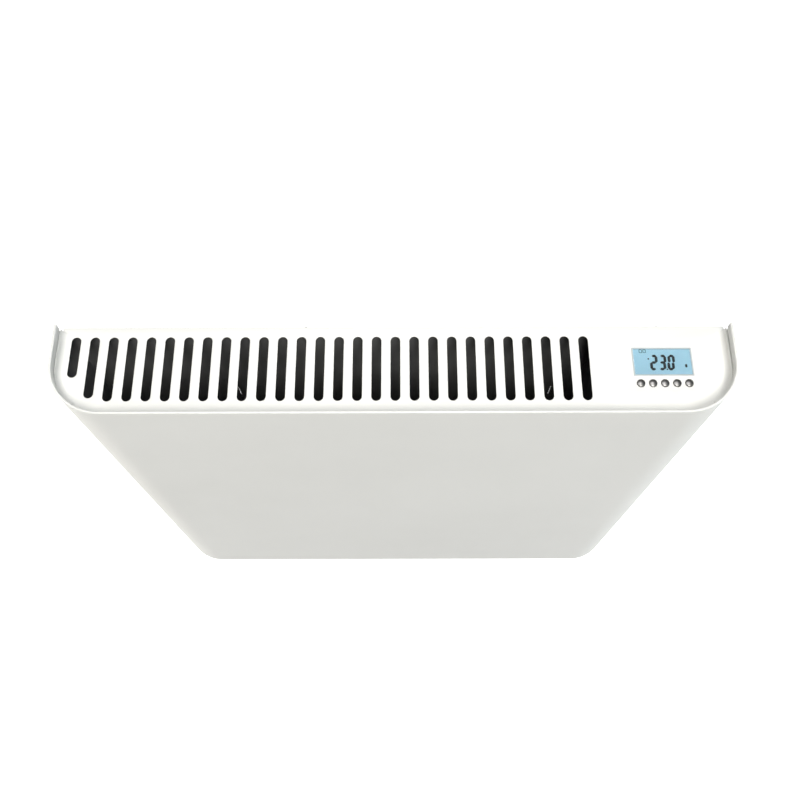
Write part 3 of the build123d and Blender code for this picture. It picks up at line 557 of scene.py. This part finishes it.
transformer_core = surface(
    "transformer_core", light=(0.18, 0.18, 0.19), dark=(0.12, 0.12, 0.13), tone_scale=150.0,
    smooth=0.40, rough=0.55, grain_scale=900, grain_depth=0.4, stretch=(1, 1, 8), Metallic=0.7,
)
terminal_plastic = surface(
    "terminal_plastic", light=(0.74, 0.74, 0.70), dark=(0.68, 0.68, 0.64), tone_scale=80.0,
    smooth=0.42, rough=0.52, grain_scale=1300, grain_depth=0.15,
)
ribbon_grey = surface(
    "ribbon_grey", light=(0.50, 0.50, 0.52), dark=(0.42, 0.42, 0.44), tone_scale=90.0, smooth=0.42,
    rough=0.52, grain_scale=700, grain_depth=0.4, stretch=(1, 0.02, 0.02),
)
lead_brown = surface(
    "lead_brown", light=(0.13, 0.05, 0.02), dark=(0.10, 0.04, 0.016), tone_scale=60.0, smooth=0.35,
    rough=0.45, grain_scale=1200, grain_depth=0.1,
)
lead_blue = surface(
    "lead_blue", light=(0.02, 0.07, 0.30), dark=(0.016, 0.055, 0.24), tone_scale=60.0, smooth=0.35,
    rough=0.45, grain_scale=1200, grain_depth=0.1,
)
lead_green = surface(
    "lead_green", light=(0.06, 0.26, 0.05), dark=(0.05, 0.20, 0.04), tone_scale=60.0, smooth=0.35,
    rough=0.45, grain_scale=1200, grain_depth=0.1,
)
display_ink = surface(
    "display_ink", light=(0.006, 0.010, 0.016), dark=(0.004, 0.007, 0.012), tone_scale=200.0,
    smooth=0.35, rough=0.45, grain_scale=1500, grain_depth=0.05,
)
faint_ink = surface(
    "faint_ink", light=(0.10, 0.21, 0.26), dark=(0.08, 0.18, 0.22), tone_scale=200.0, smooth=0.35,
    rough=0.45, grain_scale=1500, grain_depth=0.05,
)
clear_lens = surface(
    "clear_lens", light=(0.97, 0.99, 1.0), dark=(0.95, 0.98, 0.99), tone_scale=30.0, smooth=0.03,
    rough=0.06, grain_scale=1500, grain_depth=0.01, Transmission_Weight=1.0, IOR=1.3,
)
backlit_cell = surface(
    "backlit_cell", light=(0.30, 0.50, 0.60), dark=(0.27, 0.46, 0.56), tone_scale=30.0, smooth=0.45,
    rough=0.55, grain_scale=1800, grain_depth=0.03,
)
diffuser = surface(
    "diffuser", light=(0.85, 0.88, 0.92), dark=(0.80, 0.84, 0.88), tone_scale=60.0, smooth=0.5,
    rough=0.6, grain_scale=1500, grain_depth=0.1,
)

# The cell glows a little brighter in its middle. The glow's reach is in metres.
glow_reach = (0.06, 0.05, 0.05)
tree = backlit_cell.node_tree
place = add_node(tree, "ShaderNodeTexCoord")
centred = add_node(
    tree,
    "ShaderNodeMapping",
    [(place.outputs["Object"], "Vector")],
    vector_type="TEXTURE",
    Location=(control_x * MM, window_y * MM, lens_low.z * MM),
    Scale=glow_reach,
)
glow = add_node(
    tree,
    "ShaderNodeTexGradient",
    [(centred.outputs["Vector"], "Vector")],
    gradient_type="SPHERICAL",
)
lamp = add_node(
    tree,
    "ShaderNodeMixRGB",
    [(glow.outputs["Fac"], "Fac")],
    Color1=(0.34, 0.57, 0.70, 1.0),
    Color2=(0.40, 0.65, 0.79, 1.0),
)
cell_shader = tree.nodes["Principled BSDF"]
tree.links.new(lamp.outputs["Color"], cell_shader.inputs["Emission Color"])
cell_shader.inputs["Emission Strength"].default_value = 0.24


# ---------------------------------------------------------------- casing
def casing_shell():
    """One sheet: lip, bend, wall and hem, drawn as a section and led round the two corners."""
    shape = bmesh.new()
    below = plate_z - sheet - casing_low.z - casing_bend
    above = casing_high.z - hem_radius - plate_z + sheet
    start = (casing_low.x + casing_lip, casing_high.y, casing_low.z)
    foot = [casing_lip - casing_bend, (casing_bend, 90)]
    draw(shape, start, LEFT, BACK, foot + [below, above, (hem_radius, 180), hem_drop - hem_radius])
    side = corner_y - casing_high.y
    ends = pull(shape, shape.edges[:], BACK * side)
    ends = turn(shape, ends, (-corner_x, corner_y, 0), UP, 90, corner_step)
    ends = pull(shape, ends, RIGHT * 2 * corner_x)
    ends = turn(shape, ends, (corner_x, corner_y, 0), UP, 90, corner_step)
    pull(shape, ends, FRONT * side)
    thicken(shape, casing_sheet, FRONT)
    soften(shape)
    # Painted shade: the inner faces below the grille get the dark lining.
    paint_shade_inside(shape, plate_z - sheet)
    finish(
        shape, "casing_shell", casing_paint, "heater", "casing_paint", "front_casing", shade_lining=painted_shade_lining
    )


# ---------------------------------------------------------------- top grille
def slot_end(x):
    """Front end of a slot: the common line, which curves back near both sides."""
    past = max(abs(x) - slot_centre_x, 0)
    return slot_front_y + slot_corner_radius - max(slot_corner_radius**2 - past**2, 0) ** 0.5


def upstand(side, flat_x, side_run):
    """Side strip turned up from the plate and led some way round the corner, its rear end rounded."""
    strip = bmesh.new()
    rise = grille_high.z - plate_z - upstand_bend
    start = (side * flat_x, upstand_rear_y + upstand_tail, plate_z)
    draw(strip, start, side * RIGHT, side * FRONT, [(upstand_bend, 90), rise])
    ends = pull(strip, strip.edges[:], FRONT * upstand_tail)
    ends = pull(strip, ends, FRONT * side_run)
    turn(strip, ends, (side * corner_x, corner_y, 0), UP, -side * upstand_turn, corner_step)
    tip = max(strip.verts, key=lambda corner: corner.co.y + corner.co.z)
    bmesh.ops.bevel(
        strip, geom=[tip], offset=upstand_corner, segments=8, profile=0.5, affect="VERTICES", material=-1
    )
    return strip


def grille_plate():
    """Slotted plate with its front edge turned down and its sides turned up."""
    shape = bmesh.new()
    arc = inside_x - corner_x
    flat_x = inside_x - sheet - upstand_bend
    flat_y = corner_y - arc + plate_bend
    notch = inside_x - flat_x
    step = wall_side_y - step_y
    side_run = upstand_rear_y - corner_y
    rest_turn = 90 - upstand_turn
    ear = casing_high.x - inside_x
    gap = step_y - upstand_rear_y
    draw(
        shape,
        (casing_low.x, wall_side_y, plate_z),
        FRONT,
        UP,
        [step, (0, 90), ear, (0, -90), gap, (0, 90), notch, (0, -90)]
        + [side_run, (arc - notch, upstand_turn), (0, -90), notch, (0, 90), (arc, rest_turn)]
        + [(0, 90), plate_bend, (0, -90), 2 * corner_x, (0, -90), plate_bend, (0, 90)]
        + [(arc, rest_turn), (0, 90), notch, (0, -90), (arc - notch, upstand_turn), side_run]
        + [(0, -90), notch, (0, 90), gap, (0, -90), ear, (0, 90)]
        + [step, (0, 90), casing_high.x - casing_low.x],
    )
    for i in range(slot_count):
        x = slot_first_x + i * slot_pitch
        length = slot_rear_y - slot_end(x)
        half_turn = (slot_width / 2, -180)
        start = (x - slot_width / 2, slot_end(x) + slot_width / 2, plate_z)
        draw(shape, start, BACK, UP, 2 * [length - slot_width, half_turn])
    rectangle(shape, (control_x, window_y, plate_z), RIGHT, BACK, window_width, window_length)
    for x in key_xs:
        place = Matrix.Translation((x, key_y, plate_z))
        bmesh.ops.create_circle(shape, segments=key_hole_sides, radius=key_radius + key_fit, matrix=place)
    fill(shape, UP)
    front = edges_on(shape, y=flat_y, x=(-corner_x, corner_x))
    front = turn(shape, front, (0, flat_y, plate_z - plate_bend), RIGHT, 90)
    pull(shape, front, DOWN * (turn_down + sheet - plate_bend))
    for side in (-1, 1):
        add(shape, upstand(side, flat_x, side_run))
    thicken(shape, sheet, UP)
    soften(shape)
    finish(shape, "grille_plate", grille_paint, "heater", "casing_paint", "top_grille")


# ---------------------------------------------------------------- display
def display_frame():
    """Frame round the window, with a flange under the grille."""
    shape = bmesh.new()
    width = window_width - 2 * frame_fit
    length = window_length - 2 * frame_fit
    inner = 2 * frame_wall
    flange = bezel_high.x - bezel_low.x - window_width - 2 * frame_fit
    for top, spread in ((bezel_high.z, 0.0), (plate_z - sheet, flange)):
        ring = bmesh.new()
        centre = (control_x, window_y, top)
        rectangle(ring, centre, RIGHT, BACK, width + spread, length + spread, frame_corner)
        rectangle(ring, centre, RIGHT, BACK, width - inner, length - inner, frame_corner / 2)
        fill(ring, UP)
        thicken(ring, top - plate_z + frame_depth, UP)
        soften(ring, frame_edge)
        add(shape, ring)
    finish(shape, "display_frame", bezel_plastic, "heater", "bezel_plastic", "display_bezel")


def display_glass():
    """Clear pane, just above the cell."""
    shape = bmesh.new()
    width = lens_high.x - lens_low.x
    length = lens_high.y - lens_low.y
    rectangle(shape, (control_x, window_y, lens_high.z), RIGHT, BACK, width, length, frame_corner / 2)
    fill(shape, UP)
    thicken(shape, lens_high.z - lens_low.z - glass_gap, UP)
    soften(shape, glass_edge)
    finish(shape, "display_glass", clear_lens, "heater", "clear_lens", "display_lens")


digit_height = 15.2
digit_width = 6.4
bar_width = 2.45
bar_gap = 0.25
digit_slant = 0.12
digit_drop = -0.6
ink_thickness = 0.04
digits = (("abged", -7.7), ("abgcd", 0.1), ("abcdef", 7.8))

# Printed spots: place from the window's centre, width, length and corner.
point_below = (digit_height - bar_width) / 2 + 0.3 - digit_drop
decimal_point = (3.7, -point_below, 1.3, 1.3, 0.3)
left_spot = (-12.3, 3.0, 1.5, 1.5, 0.7)
right_spot = (20.9, -3.8, 2.0, 3.3, 0.9)

# Square marks: an outer and an inner outline.
mark_xs = (-18.7, -15.3)
mark_y = 10.6
mark_widths = (3.0, 1.6)
mark_stretch = 0.6


def bar(centre, along, length):
    """One pointed bar of a digit."""
    ink = bmesh.new()
    across = UP.cross(along)
    tip = bar_width / 2 * 2**0.5
    start = Vector(centre) - along * length / 2
    heading = (along - across).normalized()
    half = [tip, (0, 45), length - bar_width, (0, 45), tip, (0, 90)]
    draw(ink, start, heading, UP, half + half)
    fill(ink, UP)
    thicken(ink, ink_thickness, UP)
    return ink


def display_digits():
    """Seven-segment reading and a few small indicators, printed on the cell."""
    shape = bmesh.new()
    z = lens_low.z + ink_thickness
    half_x = (digit_width - bar_width) / 2
    half_y = (digit_height - bar_width) / 2
    for lit_bars, x in digits:
        bars = {
            "a": (0, half_y, RIGHT),
            "b": (half_x, half_y / 2, BACK),
            "c": (half_x, -half_y / 2, BACK),
            "d": (0, -half_y, RIGHT),
            "e": (-half_x, -half_y / 2, BACK),
            "f": (-half_x, half_y / 2, BACK),
            "g": (0, 0, RIGHT),
        }
        for name in lit_bars:
            across, up, along = bars[name]
            length = (2 * half_x if along == RIGHT else half_y) - bar_gap + bar_width / 4
            centre = (control_x + x + across + digit_slant * up, window_y + digit_drop + up, z)
            add(shape, bar(centre, along, length))
    spots = bmesh.new()
    for x, y, width, length, corner in (decimal_point, left_spot, right_spot):
        rectangle(spots, (control_x + x, window_y + y, z), RIGHT, BACK, width, length, corner)
    fill(spots, UP)
    thicken(spots, ink_thickness, UP)
    add(shape, spots)
    finish(shape, "display_digits", display_ink, "heater", "display_blue")


def display_marks():
    """Two small unlit frames in the display's corner."""
    shape = bmesh.new()
    z = lens_low.z + ink_thickness
    for x in mark_xs:
        centre = (control_x + x, window_y + mark_y, z)
        for width in mark_widths:
            rectangle(shape, centre, RIGHT, BACK, width, width + mark_stretch, width / 4)
    fill(shape, UP)
    thicken(shape, ink_thickness, UP)
    finish(shape, "display_marks", faint_ink, "heater", "display_blue")


# ---------------------------------------------------------------- keys
def key_button(number, x):
    """Domed cap with a collar that stops it under the grille."""
    shape = bmesh.new()
    dome = [(key_dome_radius, -key_dome_angle), (key_edge, key_dome_angle - 90)]
    skirt = [key_top_z - plate_z + sheet - key_shoulder]
    collar = [(0, 90), key_collar, (0, -90), key_collar, (0, -90), key_radius + key_collar]
    draw(shape, (x, key_y, key_top_z), RIGHT, FRONT, dome + skirt + collar)
    revolve(shape, (x, key_y, 0), UP)
    body = f"key_button_{number}"
    finish(shape, f"key_cap_{number}", key_metal, body, "key_metallised", f"key_{number}")


# ---------------------------------------------------------------- rear tray and inlet grille
def rear_tray():
    """Back sheet with its holes; its sides turn forward and step inside the casing."""
    shape = bmesh.new()
    y = wall_side_y
    flat_x = casing_high.x - plate_bend
    height = tray_high.z - tray_low.z
    middle = (tray_high.z + tray_low.z) / 2
    rectangle(shape, (0, y, middle), LEFT, UP, 2 * flat_x, height)
    for z in hook_zs:
        for side in (-1, 1):
            centre = (side * hook_slot_x, y, z - hook_slot_height / 2)
            rectangle(shape, centre, LEFT, UP, hook_slot_width, hook_slot_height)
    for i in range(vent_count):
        z = vent_z + (i - (vent_count - 1) / 2) * vent_pitch
        start = (control_x + (vent_length - vent_width) / 2, y, z - vent_width / 2)
        draw(shape, start, LEFT, FRONT, 2 * [vent_length - vent_width, (vent_width / 2, -180)])
    to_rear = Matrix.Rotation(radians(90), 4, "X")
    holes = [(x, z, screw_shank) for x in screw_xs for z in screw_zs]
    for x, z, radius in holes + [(control_x, grommet_z, grommet_groove)]:
        bmesh.ops.create_circle(
            shape, segments=hole_sides, radius=radius, matrix=Matrix.Translation((x, y, z)) @ to_rear
        )
    fill(shape, BACK)
    step = casing_high.x - inside_x
    for side in (-1, 1):
        edge = edges_on(shape, x=side * flat_x)
        edge = turn(shape, edge, (side * flat_x, y - plate_bend, 0), UP, -side * 90)
        edge = pull(shape, edge, FRONT * (y - plate_bend - step_y - step))
        edge = pull(shape, edge, FRONT * step - RIGHT * side * step)
        pull(shape, edge, FRONT * (step_y - tray_low.y))
    thicken(shape, sheet, BACK)
    soften(shape)
    # Painted shade: the tray's inner faces and upward faces inside get the dark lining.
    paint_shade_inside(shape, plate_z)
    finish(shape, "rear_tray", tray_paint, "heater", "tray_paint", "back_panel", shade_lining=painted_shade_lining)


def inlet_floor():
    """Slotted floor of the casing, turned up inside the tray."""
    shape = bmesh.new()
    z = inlet_low.z + sheet
    rear_y = inlet_high.y - plate_bend
    arc = inlet_high.x - corner_x
    side = rear_y - corner_y
    moves = [side, (arc, 90), 2 * corner_x, (arc, 90), side, (0, 90), 2 * inlet_high.x]
    draw(shape, (inlet_low.x, rear_y, z), FRONT, UP, moves)
    for i in range(inlet_slot_count):
        x = (i - (inlet_slot_count - 1) / 2) * inlet_slot_pitch
        centre = (x, inlet_slot_y, z)
        rectangle(shape, centre, RIGHT, BACK, inlet_slot_width, inlet_slot_length, inlet_slot_corner)
    fill(shape, UP)
    rear = edges_on(shape, y=rear_y)
    rear = turn(shape, rear, (0, rear_y, z + plate_bend), RIGHT, 90)
    pull(shape, rear, UP * (inlet_high.z - z - plate_bend))
    thicken(shape, sheet, UP)
    soften(shape)
    finish(shape, "inlet_floor", tray_paint, "heater", "tray_paint", "inlet_grille")


# ---------------------------------------------------------------- screws and grommet
def hex_screws(name, node, spots, outward):
    """Hexagon-head screws standing out from a sheet, their shanks behind it."""
    shape = bmesh.new()
    aim = UP.rotation_difference(outward).to_matrix().to_4x4()
    for spot in spots:
        head = bmesh.new()
        place = Matrix.Translation(Vector(spot) + outward * screw_rise) @ aim
        bmesh.ops.create_circle(head, cap_ends=True, segments=6, radius=screw_head, matrix=place)
        thicken(head, screw_rise, outward)
        soften(head, screw_edge, 3)
        add(shape, head)
        shank = Matrix.Translation(Vector(spot) - outward * screw_length / 2) @ aim
        bmesh.ops.create_cone(
            shape,
            cap_ends=True,
            segments=screw_sides,
            radius1=screw_shank * screw_taper,
            radius2=screw_shank,
            depth=screw_length,
            matrix=shank,
        )
    finish(shape, name, fastener_steel, "heater", "fastener_steel", node)


def cord_grommet():
    """Grooved rubber ring in the tray's cord hole."""
    shape = bmesh.new()
    y = wall_side_y + grommet_lip
    lip = grommet_flange - grommet_bore
    near_rim = [lip - grommet_edge, (grommet_edge, -90), grommet_lip - grommet_edge]
    far_rim = near_rim[::-1]
    groove = grommet_flange - grommet_groove
    draw(
        shape,
        (control_x + grommet_bore, y, grommet_z),
        RIGHT,
        UP,
        near_rim
        + [(0, -90), groove, (0, 90), sheet, (0, 90), groove, (0, -90)]
        + far_rim
        + [(0, -90), 2 * grommet_lip + sheet],
    )
    revolve(shape, (control_x, 0, grommet_z), BACK)
    finish(shape, "grommet_ring", black_rubber, "heater", "black_rubber", "cord_grommet")


# ---------------------------------------------------------------- wall bracket
def bracket_upright(name, side):
    """Channel on the wall with two hooks on its outer flange."""
    node = f"bracket_upright_{name}"
    low, high = extent(node)
    shape = bmesh.new()
    centre_x = side * bolt_spacing / 2
    half = abs(low.x if side < 0 else high.x) - bolt_spacing / 2
    flat = half - upright_bend
    rectangle(shape, (centre_x, 0, 0), LEFT, UP, 2 * flat, high.z - low.z)
    for z in (-bolt_spacing / 2, bolt_spacing / 2):
        place = Matrix.Translation((centre_x, 0, z)) @ Matrix.Rotation(radians(90), 4, "X")
        bmesh.ops.create_circle(shape, segments=hole_sides, radius=bolt_hole, matrix=place)
    fill(shape, BACK)
    for way in (-1, 1):
        edge = edges_on(shape, x=centre_x + way * flat)
        edge = turn(shape, edge, (centre_x + way * flat, -upright_bend, 0), UP, -way * 90)
        pull(shape, edge, FRONT * (-wall_side_y - upright_bend))
    thicken(shape, upright_sheet, BACK)
    soften(shape)
    for z in hook_zs:
        hook = bmesh.new()
        rise = [hook_neck, (0, -90), -hook_tip_y + wall_side_y - hook_corner, (hook_corner, -90)]
        rise += [hook_neck + hook_rise - 2 * hook_corner, (hook_corner, -90)]
        rise += [hook_root_y - hook_tip_y - hook_corner, (0, -90), hook_rise, (0, 90)]
        rise += [wall_side_y - hook_root_y]
        draw(hook, (centre_x + side * half, wall_side_y, z), DOWN, LEFT, rise)
        fill(hook, RIGHT * side)
        thicken(hook, upright_sheet, RIGHT * side)
        soften(hook)
        add(shape, hook)
    finish(shape, f"hook_channel_{name}", zinc_steel, "wall_bracket", "zinc_steel", node)


def bracket_rail(name):
    """Shallow channel between the uprights."""
    node = f"bracket_rail_{name}"
    low, high = extent(node)
    shape = bmesh.new()
    flange = -low.y - upright_bend
    web = high.z - low.z - 2 * upright_bend
    moves = [flange, (upright_bend, 90), web, (upright_bend, 90), flange]
    draw(shape, (low.x, low.y, low.z), BACK, RIGHT, moves)
    pull(shape, shape.edges[:], RIGHT * (high.x - low.x))
    thicken(shape, upright_sheet, BACK)
    soften(shape)
    finish(shape, f"cross_rail_{name}", zinc_steel, "wall_bracket", "zinc_steel", node)


casing_shell()
grille_plate()
display_frame()
display_glass()
display_digits()
display_marks()
for number, x in enumerate(key_xs, start=1):
    key_button(number, x)
rear_tray()
inlet_floor()
rear_spots = [(x, wall_side_y, z) for x in screw_xs for z in screw_zs]
hex_screws("tray_screws", "rear_screws", rear_spots, BACK)
hex_screws("lip_screws", "casing_screws", [(x, casing_screw_y, casing_low.z) for x in screw_xs], DOWN)
cord_grommet()
for name, side in (("left", -1), ("right", 1)):
    bracket_upright(name, side)
for name in ("upper", "lower"):
    bracket_rail(name)

# ---------------------------------------------------------------- finish of the CAD pieces that stay
finishes = {
    # Painted shade: the front ledge gets the dark lining.
    painted_shade_lining: ["front_ledge"],
    # Painted shade: the inner sheets and the element get the near-black metals.
    painted_shade_zinc: ["partition_plate", "heat_shield", "element_bracket_left", "element_bracket_right"],
    element_aluminium: ["element_body"],
    sheath_steel: ["element_sheath", "terminal_pins"],
    white_ceramic: ["element_bush_left", "element_bush_right"],
    black_rubber: ["partition_bush"],
    cutout_plastic: ["thermal_cutout"],
    backlit_cell: ["display_cell"],
    diffuser: ["display_backlight"],
    circuit_board: ["display_board", "power_board"],
    switch_plastic: ["tact_switches", "relay"] + [f"key_plunger_{i}" for i in range(1, 6)],
    carrier_plastic: ["control_carrier"],
    fastener_steel: ["carrier_studs", "carrier_nuts", "board_standoffs", "board_screws", "earth_stud"],
    transformer_core: ["transformer"],
    terminal_plastic: ["terminal_block"],
    ribbon_grey: ["ribbon_cable"],
    lead_brown: ["lead_live", "lead_link"],
    lead_blue: ["lead_neutral"],
    lead_green: ["lead_earth"],
}
for material, nodes in finishes.items():
    for node in nodes:
        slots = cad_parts[node].data.materials
        slots.clear()
        slots.append(material)

# ---------------------------------------------------------------- floor
floor_reach = 6000.0
floor_z = -750.0
floor_paint = surface(
    "floor_paint", light=(0.95, 0.95, 0.95), dark=(0.94, 0.94, 0.94), tone_scale=1.0, smooth=0.7,
    rough=0.8, grain_scale=60, grain_depth=0.02,
)
floor_shader = floor_paint.node_tree.nodes["Principled BSDF"]
floor_shader.inputs["Emission Color"].default_value = (1.0, 1.0, 1.0, 1.0)
seen = add_node(floor_paint.node_tree, "ShaderNodeLightPath")
glow = add_node(floor_paint.node_tree, "ShaderNodeMapRange", [(seen.outputs["Is Camera Ray"], "Value")])
glow.inputs["To Min"].default_value = 0.2
glow.inputs["To Max"].default_value = 0.8
floor_paint.node_tree.links.new(glow.outputs["Result"], floor_shader.inputs["Emission Strength"])
floor_shape = bmesh.new()
bmesh.ops.create_grid(floor_shape, x_segments=2, y_segments=2, size=floor_reach)
bmesh.ops.translate(floor_shape, vec=(0, 0, floor_z), verts=floor_shape.verts)
bmesh.ops.scale(floor_shape, vec=(MM, MM, MM), verts=floor_shape.verts)
floor_mesh = bpy.data.meshes.new("floor")
floor_shape.to_mesh(floor_mesh)
floor_shape.free()
floor_mesh.materials.append(floor_paint)
floor = bpy.data.objects.new("floor", floor_mesh)
bpy.context.scene.collection.objects.link(floor)


# ---------------------------------------------------------------- camera and light
def softbox(name, place, target, size, power, colour):
    """A large soft lamp turned towards a point."""
    light = bpy.data.lights.new(name, "AREA")
    light.size = size
    light.energy = power
    light.color = colour
    lamp = bpy.data.objects.new(name, light)
    lamp.location = place
    lamp.rotation_euler = (Vector(target) - Vector(place)).to_track_quat("-Z", "Y").to_euler()
    bpy.context.scene.collection.objects.link(lamp)


lens = bpy.data.cameras.new("camera")
lens.lens = 40.86
lens.sensor_width = 36.0
camera = bpy.data.objects.new("camera", lens)
camera.location = (0.0062, -0.386, 1.007)
camera.rotation_euler = (radians(22.09), radians(0.087), radians(-0.135))
bpy.context.scene.collection.objects.link(camera)
bpy.context.scene.camera = camera

softbox(
    "top_light", place=(0.0, 0.25, 2.6), target=(0, -0.05, 0), size=1.5, power=37,
    colour=(1.0, 1.0, 1.0),
)
softbox(
    "front_top_light", place=(0.18, -1.2, 2.3), target=(0, -0.05, 0.2), size=0.65, power=43,
    colour=(1.0, 0.99, 0.95),
)
softbox(
    "left_light", place=(-2.6, -0.2, 0.9), target=(0, -0.05, 0), size=1.8, power=4,
    colour=(1.0, 0.95, 0.86),
)
softbox(
    "right_light", place=(2.6, -0.2, 0.9), target=(0, -0.05, 0), size=1.8, power=8,
    colour=(0.45, 0.72, 1.0),
)
softbox(
    "left_low_light", place=(-2.4, -0.15, -0.3), target=(0, -0.05, 0), size=0.8, power=26,
    colour=(1.0, 0.97, 0.90),
)
softbox(
    "right_low_light", place=(2.4, -0.15, -0.3), target=(0, -0.05, 0), size=0.8, power=19,
    colour=(1.0, 1.0, 0.96),
)

# The studio's walls look white, and give only a little light.
world = bpy.data.worlds.new("studio")
bpy.context.scene.world = world
world.use_nodes = True
seen = add_node(world.node_tree, "ShaderNodeLightPath")
brightness = add_node(world.node_tree, "ShaderNodeMapRange", [(seen.outputs["Is Camera Ray"], "Value")])
brightness.inputs["To Min"].default_value = 0.14
brightness.inputs["To Max"].default_value = 1.0
backdrop = world.node_tree.nodes["Background"]
backdrop.inputs["Color"].default_value = (1.0, 1.0, 1.0, 1.0)
world.node_tree.links.new(brightness.outputs["Result"], backdrop.inputs["Strength"])
bpy.context.scene.view_settings.view_transform = "Standard"
